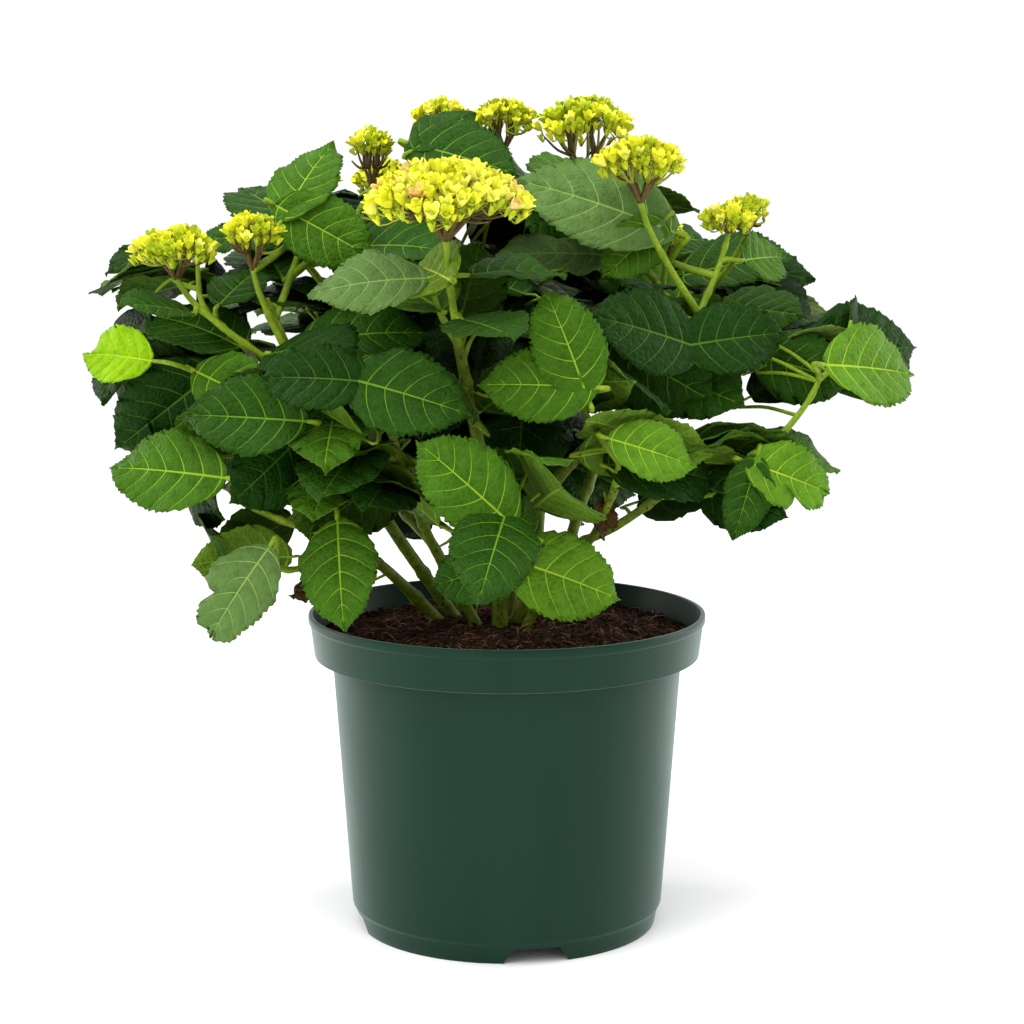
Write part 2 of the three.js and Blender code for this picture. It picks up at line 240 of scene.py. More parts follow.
def leaf_finish(name, tone, vein, net, roughness, specular, relief):
    """A blade's finish: tone and vein colour through the leaf group, with the net's relief."""
    material, tree, shader = new_material(name, roughness, specular)
    g = tree.nodes.new("ShaderNodeGroup")
    g.node_tree = LEAF
    g.inputs["Tone"].default_value = (*tone, 1)
    g.inputs["Light"].default_value = (*shade(tone, 1.26), 1)
    g.inputs["Dark"].default_value = (*shade(tone, 0.84), 1)
    shader.inputs["Specular Tint"].default_value = (0.80, 1.0, 0.50, 1)
    g.inputs["Vein"].default_value = (*vein, 1)
    g.inputs["Net"].default_value = net
    link(tree, g.outputs["Color"], shader.inputs["Base Color"])
    bump = tree.nodes.new("ShaderNodeBump")
    bump.inputs["Strength"].default_value = 0.55
    bump.inputs["Distance"].default_value = relief
    link(tree, g.outputs["Height"], bump.inputs["Height"])
    link(tree, bump.outputs["Normal"], shader.inputs["Normal"])
    return material


# Each tint has an upper side, an underside and a vein. Two tints are painted light: the darkest is painted
# shade for leaves inside and behind the crown, and the greyish one is a painted sheen for leaves that face
# up.
TINTS = {
    # painted shade: the darkest tint, for leaves inside and behind the crown
    "painted_shade": ((0.0022, 0.011, 0.0009), (0.0055, 0.017, 0.0014), (0.014, 0.040, 0.003)),
    "dark": ((0.0048, 0.026, 0.0018), (0.016, 0.042, 0.003), (0.052, 0.125, 0.007)),
    "deep": ((0.0125, 0.048, 0.0034), (0.030, 0.070, 0.005), (0.110, 0.230, 0.010)),
    "mid": ((0.034, 0.100, 0.0050), (0.075, 0.145, 0.012), (0.210, 0.360, 0.016)),
    "fresh": ((0.066, 0.165, 0.0080), (0.140, 0.240, 0.022), (0.310, 0.470, 0.022)),
    "lime": ((0.175, 0.340, 0.0020), (0.220, 0.380, 0.010), (0.360, 0.540, 0.012)),
    # painted sheen: a pale grey-green standing in for an overhead light's reflection on leaves that face up
    "sheen_grey": ((0.070, 0.135, 0.032), (0.110, 0.170, 0.035), (0.200, 0.310, 0.070)),
    "olive": ((0.085, 0.160, 0.0080), (0.140, 0.215, 0.015), (0.380, 0.480, 0.040)),
    "withered": ((0.050, 0.026, 0.008), (0.065, 0.034, 0.011), (0.110, 0.065, 0.026)),
}
TINT_NAMES = list(TINTS)
leaf_materials = []
for tint, (upper, under, vein) in TINTS.items():
    leaf_materials.append(leaf_finish("leaf_" + tint, upper, vein, 0.09, 0.46, 0.085, 0.0009))
    leaf_materials.append(leaf_finish("underleaf_" + tint, under, vein, 0.22, 0.62, 0.08, 0.0008))
    leaf_materials.append(mottled("vein_" + tint, vein, 40.0, 0.12, 0.5, 0.12))


# ------------------------------------------------------------------ mesh helpers
def box_of(name):
    """A node's lowest and highest corners."""
    return [np.array(v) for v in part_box(name)]


def finish_piece(obj, replaces=(), smooth=True):
    """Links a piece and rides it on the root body."""
    if obj.name not in bpy.context.scene.collection.objects:
        bpy.context.scene.collection.objects.link(obj)
    if smooth:
        obj.data.polygons.foreach_set("use_smooth", [True] * len(obj.data.polygons))
    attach(obj, "root")
    if replaces:
        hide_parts(*replaces)
    return obj


class Heap:
    """Many small shapes gathered as arrays and joined into one mesh."""

    def __init__(self):
        self.points, self.faces, self.finishes, self.count = [], [], [], 0

    def add(self, points, faces, finishes):
        """Adds one shape, with its faces counted on from those already here."""
        self.points.append(points)
        self.faces.append(faces + self.count)
        self.finishes.append(finishes)
        self.count += len(points)

    def mesh(self, name, materials):
        """An object of everything added, with its materials."""
        points = np.concatenate(self.points)
        quads = np.concatenate(self.faces)
        finishes = np.concatenate(self.finishes)
        mesh = bpy.data.meshes.new(name)
        mesh.vertices.add(len(points))
        mesh.vertices.foreach_set("co", points.astype(np.float32).ravel())
        mesh.loops.add(4 * len(quads))
        mesh.loops.foreach_set("vertex_index", quads.astype(np.int32).ravel())
        mesh.polygons.add(len(quads))
        mesh.polygons.foreach_set("loop_start", np.arange(0, 4 * len(quads), 4, dtype=np.int32))
        mesh.polygons.foreach_set("material_index", finishes.astype(np.int32))
        for material in materials:
            mesh.materials.append(material)
        mesh.update(calc_edges=True)
        mesh.validate()
        return bpy.data.objects.new(name, mesh)


def smooth_path(points, steps):
    """A smooth line through a few points, evenly stepped."""
    p = np.array(points, float)
    if len(p) == 2:
        t = np.linspace(0, 1, steps)[:, None]
        return p[0] * (1 - t) + p[1] * t
    ext = np.vstack([2 * p[0] - p[1], p, 2 * p[-1] - p[-2]])
    out = []
    for i in range(1, len(ext) - 2):
        a, b, c, d = ext[i - 1 : i + 3]
        t = np.linspace(0, 1, 24, endpoint=False)[:, None]
        out.append(
            0.5 * (2 * b + (c - a) * t + (2 * a - 5 * b + 4 * c - d) * t**2 + (3 * b - a - 3 * c + d) * t**3)
        )
    line = np.vstack([*out, p[-1:]])
    far = np.concatenate([[0], np.cumsum(np.linalg.norm(np.diff(line, axis=0), axis=1))])
    at = np.linspace(0, far[-1], steps)
    return np.stack([np.interp(at, far, line[:, k]) for k in range(3)], 1)


def path_frames(line):
    """Directions along a line and two steady cross directions."""
    ahead = np.gradient(line, axis=0)
    ahead /= np.linalg.norm(ahead, axis=1)[:, None]
    side = np.cross(ahead[0], [0.31, 0.12, 0.94])
    side /= np.linalg.norm(side)
    sides = []
    for a in ahead:
        side = side - a * side.dot(a)
        side /= np.linalg.norm(side)
        sides.append(side)
    sides = np.array(sides)
    return ahead, sides, np.cross(ahead, sides)


def tube(line, radii, sides=8, finish=0):
    """A closed tube along a line as points, quads and finishes."""
    _, a, b = path_frames(line)
    turn = np.linspace(0, 2 * math.pi, sides, endpoint=False)
    ring = np.cos(turn)[None, :, None] * a[:, None] + np.sin(turn)[None, :, None] * b[:, None]
    radii = np.broadcast_to(np.asarray(radii, float).reshape(len(line), -1), (len(line), sides))
    points = (line[:, None] + ring * radii[..., None]).reshape(-1, 3)
    n = len(line)
    i, j = np.meshgrid(np.arange(n - 1), np.arange(sides), indexing="ij")
    k = (j + 1) % sides
    quads = np.stack([i * sides + j, i * sides + k, (i + 1) * sides + k, (i + 1) * sides + j], -1)
    quads = quads.reshape(-1, 4)
    caps = []
    for row, flip in ((0, True), (n - 1, False)):
        for s in range(1, sides - 2, 2):
            quad = [row * sides, row * sides + s, row * sides + s + 1, row * sides + (s + 2) % sides]
            caps.append(quad[::-1] if flip else quad)
    quads = np.vstack([quads, np.array(caps)])
    return points, quads, np.full(len(quads), finish)


# ------------------------------------------------------------------ leaf blanks
VEIN_STARTS = [0.036, 0.175, 0.325, 0.475, 0.625, 0.765, 0.885]


def leaf_rows(between):
    """Rows of (midrib share, offset, place between veins), and which rows are veins."""
    starts = VEIN_STARTS + [0.975]
    rows = [(0.0, 0.0, 0.0)]
    foot_rows = (0.0014, 0.0045, 0.011, 0.021) if between > 1 else (0.004, 0.018)
    rows += [(share, 0.0, 0.4) for share in foot_rows]
    vein_rows = []
    for k in range(len(VEIN_STARTS)):
        half = 0.0050 * (1 - 0.07 * k)
        vein_rows.append(len(rows))
        rows.append((starts[k], -half, 0.0))
        rows.append((starts[k], half, 0.0))
        for m in range(1, between + 1):
            share = m / (between + 1)
            rows.append((starts[k] + (starts[k + 1] - starts[k]) * share, 0.0, share))
    rows.append((0.988, 0.0, 0.0))
    rows.append((1.0, 0.0, 0.0))
    return rows, vein_rows


def leaf_blank(between, columns):
    """A flat leaf grid with its thickness; its coordinates tell where each vertex belongs."""
    rows, vein_rows = leaf_rows(between)
    across = sorted({-c for c in columns} | set(columns) | {0.0})
    bm = bmesh.new()
    bmesh.ops.create_grid(bm, x_segments=len(across) - 1, y_segments=len(rows) - 1, size=1.0)
    xs = sorted({round(v.co.x, 5) for v in bm.verts})
    ys = sorted({round(v.co.y, 5) for v in bm.verts})
    for v in bm.verts:
        v.co.x = xs.index(round(v.co.x, 5))
        v.co.y = ys.index(round(v.co.y, 5))
    middle = len(columns)
    for face in bm.faces:
        centre = face.calc_center_median()
        on_rib = abs(centre.x - middle) < 1
        on_vein = int(centre.y) in vein_rows and abs(centre.x - middle) < middle - 1
        face.material_index = 2 if on_rib or on_vein else 0
    top = list(bm.faces)
    bmesh.ops.solidify(bm, geom=top, thickness=0.25)
    levels = sorted({round(v.co.z, 3) for v in bm.verts})
    upper = levels[-1]
    points = np.array([v.co for v in bm.verts])
    column = np.rint(points[:, 0]).astype(int).clip(0, len(across) - 1)
    row = np.rint(points[:, 1]).astype(int).clip(0, len(rows) - 1)
    is_top = np.abs(points[:, 2] - upper) < 0.05
    faces, finishes = [], []
    for face in bm.faces:
        ids = [v.index for v in face.verts]
        if len(ids) != 4:
            continue
        faces.append(ids)
        tops = sum(bool(is_top[i]) for i in ids)
        if tops == 4:
            finishes.append(face.material_index)
        else:
            finishes.append(2 if tops == 0 and face.material_index == 2 else 1)
    bm.free()
    across = np.array(across)
    rows = np.array(rows)
    return {
        "t": across[column],
        "edge": np.abs(column - middle) == 1,
        "rim": np.abs(column - middle) == middle,
        "row": row,
        "s": rows[row, 0],
        "off": rows[row, 1],
        "gap": rows[row, 2],
        "top": is_top,
        "faces": np.array(faces),
        "finishes": np.array(finishes),
    }


FINE = leaf_blank(4, [0.02, 0.22, 0.45, 0.68, 0.88, 1.0])
PLAIN = leaf_blank(2, [0.02, 0.35, 0.7, 1.0])
ROUGH = leaf_blank(1, [0.02, 0.55, 1.0])


HEART = 0.03


def half_width(y, point):
    """The blade's half width along its length: rounded at the foot, full, drawn to a short point."""
    y = np.clip(y, 0, 1)
    knee = 0.84
    level = math.sin(math.pi * knee**0.84) ** 0.72
    body = np.sin(math.pi * y**0.84) ** 0.72
    tip = level * np.clip((1 - y) / (1 - knee), 0, 1) ** point
    return np.where(y > knee, tip, body)


def leaf_points(blank, length, width, bend, fold, quilt, wave, phase, curl, twist, tooth, torn):
    """The blade's vertices with its foot at the origin, its chord along +Y and its face up."""
    t, s = blank["t"], blank["s"]
    side = np.sign(t)
    reach = np.abs(t)
    sweep = 0.60 * np.clip(s, 0, 1) ** 0.44 * (1 - np.clip(s, 0, 1)) ** 0.95
    rim_y = s + sweep
    y = s + sweep * (0.42 * reach + 0.58 * reach**2.1) + blank["off"] * (1 - 0.72 * reach)
    y = y - HEART * np.sin(math.pi * np.clip(reach, 0, 0.95)) * np.exp(-rim_y / 0.16)
    w = half_width(rim_y, 1.34)
    rib = 0.030 * (1 - 0.82 * s)
    x = np.where(blank["edge"], rib, np.maximum(rib * (reach > 0), reach * w))
    x = np.where(reach == 0, 0.0, x)
    # teeth along the margin, pointing forward
    tip_row = (blank["row"] % 2) == 0
    live = blank["rim"] & (rim_y > 0.10) & (s < 0.97)
    uneven = 1 + 0.5 * np.sin(7.3 * blank["row"] + 3.1 * side + phase)
    x = np.where(live & ~tip_row, x * (1 - tooth * uneven), x)
    y = np.where(live & tip_row, y + 0.16 * tooth * uneven, y)
    if torn:
        x = x * (1 - torn * reach * (side > 0) * np.exp(-(((rim_y - 0.60) / 0.05) ** 2)))
        y = np.minimum(y, 1 - torn * (0.16 + 0.05 * np.sin(9 * t)))
    swell = np.sin(math.pi * np.clip(reach, 0, 0.98) ** 0.75)
    relief = np.sin(math.pi * blank["gap"]) * (reach > 0.03) * swell
    z = quilt * relief
    z -= 0.35 * MM * (reach == 0)
    z += wave * reach**2 * np.sin(2 * math.pi * 1.6 * y + phase + 1.7 * side) * (0.4 + y)
    z += 0.5 * wave * reach**3 * np.sin(2 * math.pi * 4.3 * y + 2 * phase - side)
    x = x * width / 2
    z -= curl * width * (reach**2) * 0.5
    fold_now = fold * (1 - 0.35 * y)
    x, z = x * np.cos(fold_now), z * np.cos(fold_now) + x * np.sin(fold_now)
    x = x * side
    spin = twist * y
    x, z = x * np.cos(spin) - z * np.sin(spin), x * np.sin(spin) + z * np.cos(spin)
    along = np.linspace(0, 1, 41)
    angle = bend * along**1.2
    cy = np.concatenate([[0], np.cumsum(np.cos(angle[:-1]))]) / 40
    cz = np.concatenate([[0], np.cumsum(-np.sin(angle[:-1]))]) / 40
    chord = math.hypot(cy[-1], cz[-1])
    lift = math.atan2(-cz[-1], cy[-1])
    ca, sa = math.cos(lift), math.sin(lift)
    ry, rz = (cy * ca - cz * sa) / chord, (cy * sa + cz * ca) / chord
    a = np.interp(y, along, angle) - lift
    py = np.interp(y, along, ry) * length + z * np.sin(a)
    pz = np.interp(y, along, rz) * length + z * np.cos(a)
    thick = np.where(blank["top"], 0.0, -0.55 * MM)
    return np.stack([x, py + thick * np.sin(a), pz + thick * np.cos(a)], 1)


def scatter():
    """A random direction and size, from a bell curve on each axis."""
    return np.array([rng.gauss(0, 1) for _ in range(3)])


def unit(v):
    """A vector of the same direction and of length one."""
    v = np.asarray(v, float)
    return v / np.linalg.norm(v)


def aim(turn, rise):
    """The direction of a turn round the plant and a rise, both in degrees."""
    t, r = math.radians(turn), math.radians(rise)
    return np.array([math.cos(t) * math.cos(r), math.sin(t) * math.cos(r), math.sin(r)])


heaps = {}


def put_leaf(
    place, base, ahead, face, tint, length, width, bend=20, fold=8, quilt=0.9, wave=1.5, curl=0.05, twist=0,
    tooth=0.05, blank=None, torn=0.0, accept=None,
):
    """Lays one leaf into a heap: foot, direction, the way its face looks, and its form in mm and degrees."""
    blank = blank or FINE
    points = leaf_points(
        blank, length * MM, width * MM, math.radians(bend), math.radians(fold), quilt * MM, wave * MM,
        rng.uniform(0, FULL_TURN), curl, math.radians(twist), tooth, torn,
    )
    ahead = unit(ahead)
    up = np.asarray(face, float)
    up = up - ahead * up.dot(ahead)
    if np.linalg.norm(up) < 0.05:
        up = np.array([0.3, -0.8, 0.5]) - ahead * ahead.dot([0.3, -0.8, 0.5])
    up = unit(up)
    right = np.cross(ahead, up)
    points = points @ np.stack([right, ahead, up]) + np.asarray(base)
    finishes = blank["finishes"] + 3 * TINT_NAMES.index(tint)
    if accept is not None and not accept(points):
        return None
    heaps.setdefault(place, Heap()).add(points, blank["faces"], finishes)
    return points


# ------------------------------------------------------------------ canes and shoots
def cane_line(name):
    """The middle line of a CAD cane, from foot to tip, with its radius."""
    mesh = nodes[name].data
    co = np.array([v.co for v in mesh.vertices])
    co = np.unique(np.round(co, 5), axis=0)
    low, high = co[co[:, 2].argmin()], co[co[:, 2].argmax()]
    axis = unit(high - low)
    along = (co - low) @ axis
    edges = np.linspace(along.min(), along.max(), 7)
    line, radius = [], []
    for a, b in zip(edges[:-1], edges[1:]):
        ring = co[(along >= a - 1e-6) & (along <= b + 1e-6)]
        if len(ring) >= 4:
            centre = ring.mean(0)
            line.append(centre)
            off = ring - centre
            off = off - np.outer(off @ axis, axis)
            radius.append(np.median(np.linalg.norm(off, axis=1)))
    return np.array(line), float(np.median(radius))


FRONT, UP = np.array([0.0, -1.0, 0.0]), np.array([0.0, 0.0, 1.0])
SHOOT_FOOT, SHOOT_TIP = 2.9 * MM, 1.9 * MM
stems, stem_points = {}, []


def add_stem(name, line, foot, tip):
    """Keeps a stem, and offers its line to what grows later."""
    stems[name] = (line, np.linspace(foot, tip, len(line)))
    stem_points.append(line)


def nearest_wood(goal, drop=0.03):
    """Where a shoot to the goal leaves the wood grown so far: close by, and rather from below."""
    points = np.vstack(stem_points)
    off = goal - points
    cost = np.linalg.norm(off, axis=1) + 1.5 * np.maximum(0, drop - off[:, 2])
    return points[cost.argmin()], cost.min()


def grow_stems():
    """Every cane along its CAD solid, then a shoot up to each head and into each mass, nearest first."""
    for name in CANE_NODES:
        line, radius = cane_line(name)
        under = line[0] - unit(line[1] - line[0]) * 8 * MM
        add_stem(name, smooth_path(np.vstack([under, line]), 70), radius * 1.12, radius * 0.74)
    goals = {}
    for name in HEAD_NODES + MASS_NODES:
        low, high = box_of(name)
        goals[name] = (low + high) / 2
        if name in HEAD_NODES:
            goals[name][2] = low[2]
    while goals:
        name = min(goals, key=lambda n: nearest_wood(goals[n])[1])
        goal = goals.pop(name)
        start = nearest_wood(goal, 0.075 if name in HEAD_NODES else 0.03)[0]
        if name in MASS_NODES:
            goal = start + (goal - start) * 0.72 - FRONT * 0.012
        gap = np.linalg.norm(goal - start)
        if gap < 0.012:
            continue
        rise = UP * min(0.016, 0.2 * gap)
        bends = [start, start * 0.5 + goal * 0.5 - 0.4 * rise, goal * 0.85 + start * 0.15 - 0.4 * rise, goal]
        add_stem("shoot_" + name, smooth_path(np.array(bends), 40), SHOOT_FOOT, SHOOT_TIP)


grow_stems()


def bark_grain(share, turn):
    """Fine unevenness round a stem, from its share of the way along and the turn round it."""
    return noise.noise(Vector((share * 60, 7 * math.cos(turn), 7 * math.sin(turn))))


def stem_tubes():
    """Tubes with swollen joints, low ridges and fine unevenness along each cane, shoot and twig."""
    cane_heap = Heap()
    for name, (line, radii) in stems.items():
        main = name in CANE_NODES
        steps = 150 if main else 60
        at = np.linspace(0, 1, len(line))
        fine = np.linspace(0, 1, steps)
        path = np.stack([np.interp(fine, at, line[:, k]) for k in range(3)], 1)
        radius = np.interp(fine, at, radii)
        length = np.linalg.norm(np.diff(path, axis=0), axis=1).sum()
        joints = np.arange(0.05, length, 0.052 if main else 0.036)
        far = fine * length
        for j in joints:
            radius = radius * (1 + 0.24 * np.exp(-(((far - j) / 0.0034) ** 2)))
        sides = 12 if main else 8
        turn = np.linspace(0, 2 * math.pi, sides, endpoint=False)
        ridge = 0.035 * np.sin(3 * turn[None] + 9 * fine[:, None])
        ridge = ridge + 0.03 * np.sin(5 * turn[None] - 23 * fine[:, None])
        grain = np.array([[bark_grain(f, a) for a in turn] for f in fine])
        cane_heap.add(*tube(path, radius[:, None] * (1 + ridge + 0.05 * grain), sides, 0 if main else 1))
    return cane_heap


petioles = Heap()
stalk_feet = []


def stalk_line(base, ahead):
    """The way of a leaf stalk from the nearest stem to the foot of a blade."""
    base = np.asarray(base, float)
    points = np.vstack(stem_points)
    near = points - base
    cost = np.linalg.norm(near, axis=1) + 0.35 * np.maximum(0, near[:, 2])
    start = points[cost.argmin()]
    gap = np.linalg.norm(base - start)
    lead = base - unit(ahead) * min(0.35 * gap, 14 * MM)
    if gap < 3 * MM:
        return smooth_path([start, base + unit(ahead) * MM], 4), gap
    return smooth_path([start, start * 0.5 + lead * 0.5 + np.array([0, 0, 0.05 * gap]), lead, base], 12), gap


def petiole(base, ahead, thick):
    """Lays one leaf stalk, of this many millimetres' radius, into its heap and notes where it starts."""
    line = stalk_line(base, ahead)[0]
    stalk_feet.append(line[0])
    thick = thick * MM
    petioles.add(*tube(line, np.linspace(thick * 1.3, thick * 0.8, len(line)), 6, 1))


# ------------------------------------------------------------------ leaves that fill each mass
PLACES = {
    "foliage_front": "leaves_front",
    "foliage_left": "leaves_left",
    "foliage_right": "leaves_right",
    "foliage_top": "leaves_top",
    "foliage_core": "leaves_core",
    "foliage_back": "leaves_back",
}
# The viewpoint that the front of the crown is arranged for, and the small cells that its view is split into.
EYE = np.array([0.0, -1.75, 0.556])
CELL = 0.0032
GRID = 200
VIEW_DROP = 0.15


class Fan:
    """The nearest distance from the front in each direction, over a fan of small cells."""

    def __init__(self):
        self.near = np.full((GRID, GRID), np.inf)

    def cells(self, points):
        """The cell of each point's direction, and its distance."""
        off = points - EYE
        far = np.linalg.norm(off, axis=1)
        u = np.rint(off[:, 0] / off[:, 1] / CELL).astype(int) + GRID // 2
        v = np.rint((off[:, 2] / off[:, 1] + VIEW_DROP) / CELL).astype(int) + GRID // 2
        return u.clip(0, GRID - 1), v.clip(0, GRID - 1), far

    def mark(self, points):
        """Notes these points where they are nearer than what is marked."""
        u, v, far = self.cells(points)
        np.minimum.at(self.near, (u, v), far)

    def share_over(self, points, slack):
        """The share of the points that would stand in front of what is marked."""
        u, v, far = self.cells(points)
        there = self.near[u, v]
        return float(np.mean(np.isfinite(there) & (far < there - slack)))

    def share_open(self, points):
        """The share of the points in directions where nothing is marked."""
        u, v, _ = self.cells(points)
        return float(np.mean(~np.isfinite(self.near[u, v])))


def mesh_samples(name):
    """The triangles of a CAD solid, with their outward directions and areas."""
    mesh = nodes[name].data
    mesh.calc_loop_triangles()
    co = np.array([v.co for v in mesh.vertices])
    tri = co[np.array([t.vertices for t in mesh.loop_triangles])]
    normal = np.cross(tri[:, 1] - tri[:, 0], tri[:, 2] - tri[:, 0])
    area = np.linalg.norm(normal, axis=1) / 2
    good = area > 1e-9
    return tri[good], normal[good] / (2 * area[good, None]), area[good]


def spread(tri, area, count, seed):
    """Evenly scattered points on triangles."""
    pick = np.random.default_rng(seed)
    which = pick.choice(len(tri), count, p=area / area.sum())
    a, b = pick.random(count), pick.random(count)
    flip = a + b > 1
    a[flip], b[flip] = 1 - a[flip], 1 - b[flip]
    t = tri[which]
    return t[:, 0] + (t[:, 1] - t[:, 0]) * a[:, None] + (t[:, 2] - t[:, 0]) * b[:, None], which


leading_fan, outline, all_fan = Fan(), Fan(), Fan()
MASS_SHAPES = {}
for number, name in enumerate(MASS_NODES + HEAD_NODES):
    MASS_SHAPES[name] = mesh_samples(name)
    tri, normal, area = MASS_SHAPES[name]
    surface = spread(tri, area, int(area.sum() / 4e-6), number)[0]
    outline.mark(surface)
HEAD_ZONES = []
for name in HEAD_NODES:
    low, high = box_of(name)
    HEAD_ZONES.append(((low + high) / 2, (high - low)[:2].max() / 2 + 0.004, low[2] - 0.002, high[2] + 0.03))
CAD_LOW, CAD_HIGH = np.array(cad_box[0]), np.array(cad_box[1])
placed_centres, stalk_points = [], []


# Sprays made of one or two leading leaves: what else grows there keeps behind those.
SPARE = (
    "foliage_left_low",
    "foliage_left_hanging",
    "foliage_right_far",
    "foliage_right_low",
    "foliage_right_front",
)


def room_for(points, spare):
    """Whether a filling leaf keeps off everything and stays behind the leading leaves."""
    if not keeps_off(points) or leading_fan.share_over(points, -0.004) > 0.012:
        return False
    return not (spare and leading_fan.share_open(points) > 0.60)


def grow_twigs():
    """A few twigs from the nearest limb into every mass, so that its leaves have wood to sit on."""
    for name in MASS_NODES:
        low, high = box_of(name)
        centre, half = (low + high) / 2, (high - low) / 2
        for k in range(3 if half.max() > 0.06 else 2):
            way = [rng.uniform(-0.55, 0.55), rng.uniform(-0.55, 0.55), rng.uniform(-0.1, 0.6)]
            end = centre + half * np.array(way)
            points = np.vstack(stem_points)
            off = end - points
            cost = np.linalg.norm(off, axis=1) + 0.8 * np.maximum(0, -off[:, 2] + 0.02)
            start = points[cost.argmin()]
            if np.linalg.norm(end - start) < 0.02:
                continue
            knee = start * 0.5 + end * 0.5 + np.array([0, 0, -0.10 * np.linalg.norm(end - start)])
            line = smooth_path([start, knee, end], 20)
            if leading_fan.share_over(line, 0.0) > 0.0 or outline.share_open(line) > 0.3:
                continue
            stems["twig_" + name + str(k)] = (line, np.linspace(2.1 * MM, 1.3 * MM, 20))
            stem_points.append(line)


def prune_stems():
    """Cuts every shoot into a mass, and every twig, back to the last leaf or twig that grows from it."""
    feet = list(stalk_feet)
    for name in reversed(list(stems)):
        line, radii = stems[name]
        if name.startswith(("twig_", "shoot_foliage")):
            away = np.linalg.norm(np.array(feet)[:, None] - line[None], axis=2).min(0)
            used = np.flatnonzero(away < 0.0004)
            if not len(used) or used[-1] < 3:
                del stems[name]
                continue
            stems[name] = (line[: used[-1] + 1], radii[: used[-1] + 1])
        feet.append(line[0])
    stem_points[:] = [line for line, _ in stems.values()]


def fill_leaf(name, spot, out, blank, tints, gain=0.0):
    """Tries one leaf at a place on a mass's surface, lying like a shingle and pointing outward."""
    lean = 0.80 if spot[1] < 0.02 else 0.6
    face = unit(out * lean + UP * rng.uniform(0.45, 0.9) + 0.16 * scatter())
    radial = unit(np.array([spot[0], spot[1], 0.0]) + 1e-5)
    turn = rng.uniform(-1.0, 1.0)
    lead = radial * math.cos(turn) + np.cross(UP, radial) * math.sin(turn) + UP * rng.uniform(-0.45, 0.15)
    if out[1] < -0.5:
        lead = lead + FRONT * 0.2 + UP * -0.35
    ahead = lead - face * lead.dot(face)
    if np.linalg.norm(ahead) < 0.15:
        return False
    ahead = unit(ahead)
    length = rng.uniform(0.066, 0.102)
    base = spot - out * rng.uniform(0.004, 0.016) - ahead * length * 0.52

    def accept(points):
        if not room_for(points, name in SPARE):
            return False
        middle = points.mean(0)
        for other, other_face in placed_centres:
            if np.linalg.norm(other - middle) < (0.013 if gain else 0.017):
                return False
        line, gap = stalk_line(base, ahead)
        if leading_fan.share_over(line, 0.0) > 0.02 or gap > 0.13:
            return False
        if gain and all_fan.share_open(points) < gain:
            return False
        placed_centres.append((middle, face))
        return True

    points = put_leaf(
        PLACES["_".join(name.split("_")[:2])], base, ahead, face, rng.choice(tints), length / MM,
        length / MM * rng.uniform(0.64, 0.80), bend=rng.uniform(10, 34), fold=rng.uniform(2, 15),
        quilt=rng.uniform(0.8, 1.7), wave=rng.uniform(0.8, 2.6), curl=rng.uniform(0.0, 0.08),
        twist=rng.uniform(-10, 10), blank=blank, accept=accept,
    )
    if points is None:
        return False
    all_fan.mark(points)
    petiole(base, ahead, 1.25)
    return True


# Tints dealt by how light falls, as painted light and shade: the darkest for leaves inside or behind the
# crown (painted shade), darker ones for leaves facing sideways, lighter ones with the greyish painted sheen
# for leaves that face up.
SHADE_TINTS = ["painted_shade", "dark"]
SIDE_TINTS = ["dark", "dark", "deep", "deep", "mid"]
PAINTED_LIT_TINTS = ["deep", "deep", "mid", "mid", "sheen_grey"]


def fill_leaves():
    """Leaves over every mass, then more wherever light would still come through from the front."""
    for number, name in enumerate(MASS_NODES):
        tri, normal, area = MASS_SHAPES[name]
        wanted = max(3, int(area.sum() / 0.0021))
        spots, which = spread(tri, area, wanted * 14, 100 + number)
        done = 0
        for spot, face in zip(spots, normal[which]):
            if face[2] < -0.45:
                continue
            inner = name == "foliage_core"
            shaded_behind = "back" in name and face[1] < -0.2
            # Painted shade and light: leaves of the core, and leaves on the back masses that face the front,
            # get the darkest tints; leaves that face up get the lighter tints with the painted sheen.
            tints = SHADE_TINTS if inner or shaded_behind else (PAINTED_LIT_TINTS if face[2] > 0.45 else SIDE_TINTS)
            done += fill_leaf(name, spot, face, ROUGH if inner else PLAIN, tints)
            if done >= wanted:
                break
    for number, name in enumerate(MASS_NODES):
        tri, normal, area = MASS_SHAPES[name]
        spots, which = spread(tri, area, 260 if name != "foliage_core" else 420, 300 + number)
        for spot, face in zip(spots, normal[which]):
            inward = spot + (0.02 if name != "foliage_core" else 0.0) * np.array([0, 1.0, 0])
            # Painted shade: filling leaves behind the middle get the darkest tints.
            tints = SHADE_TINTS if spot[1] > 0 else SIDE_TINTS
            fill_leaf(name, inward, unit(face + FRONT * 0.8), PLAIN, tints, gain=0.15)


# ------------------------------------------------------------------ leaves that lead the eye
# The tint of the first large leaf of a spray, where it isn't the one painted by height as light and shade;
# the greyish one is a painted sheen.
SPRAY_TINTS = {
    "foliage_front_upper": "olive",
    "foliage_front_low": "mid",
    "foliage_left_middle": "lime",
    "foliage_left_hanging": "sheen_grey",
    "foliage_right_far": "fresh",
    "foliage_right_low": "fresh",
    "foliage_right_front": "fresh",
    "foliage_front_skirt": "fresh",
}
TORN_SPRAYS = ("foliage_left_hanging", "foliage_right_low")
LEAF_AREA = 0.0046
LEAF_SHORTEST, LEAF_LONGEST = 0.052, 0.122
YOUNG_LONGEST = 0.060
LIP_HEIGHT, LIP_CLEAR = 0.219, 0.150
LOWEST_LEAF = 0.205
LEAF_APART, WOOD_APART = 0.034, 0.0036


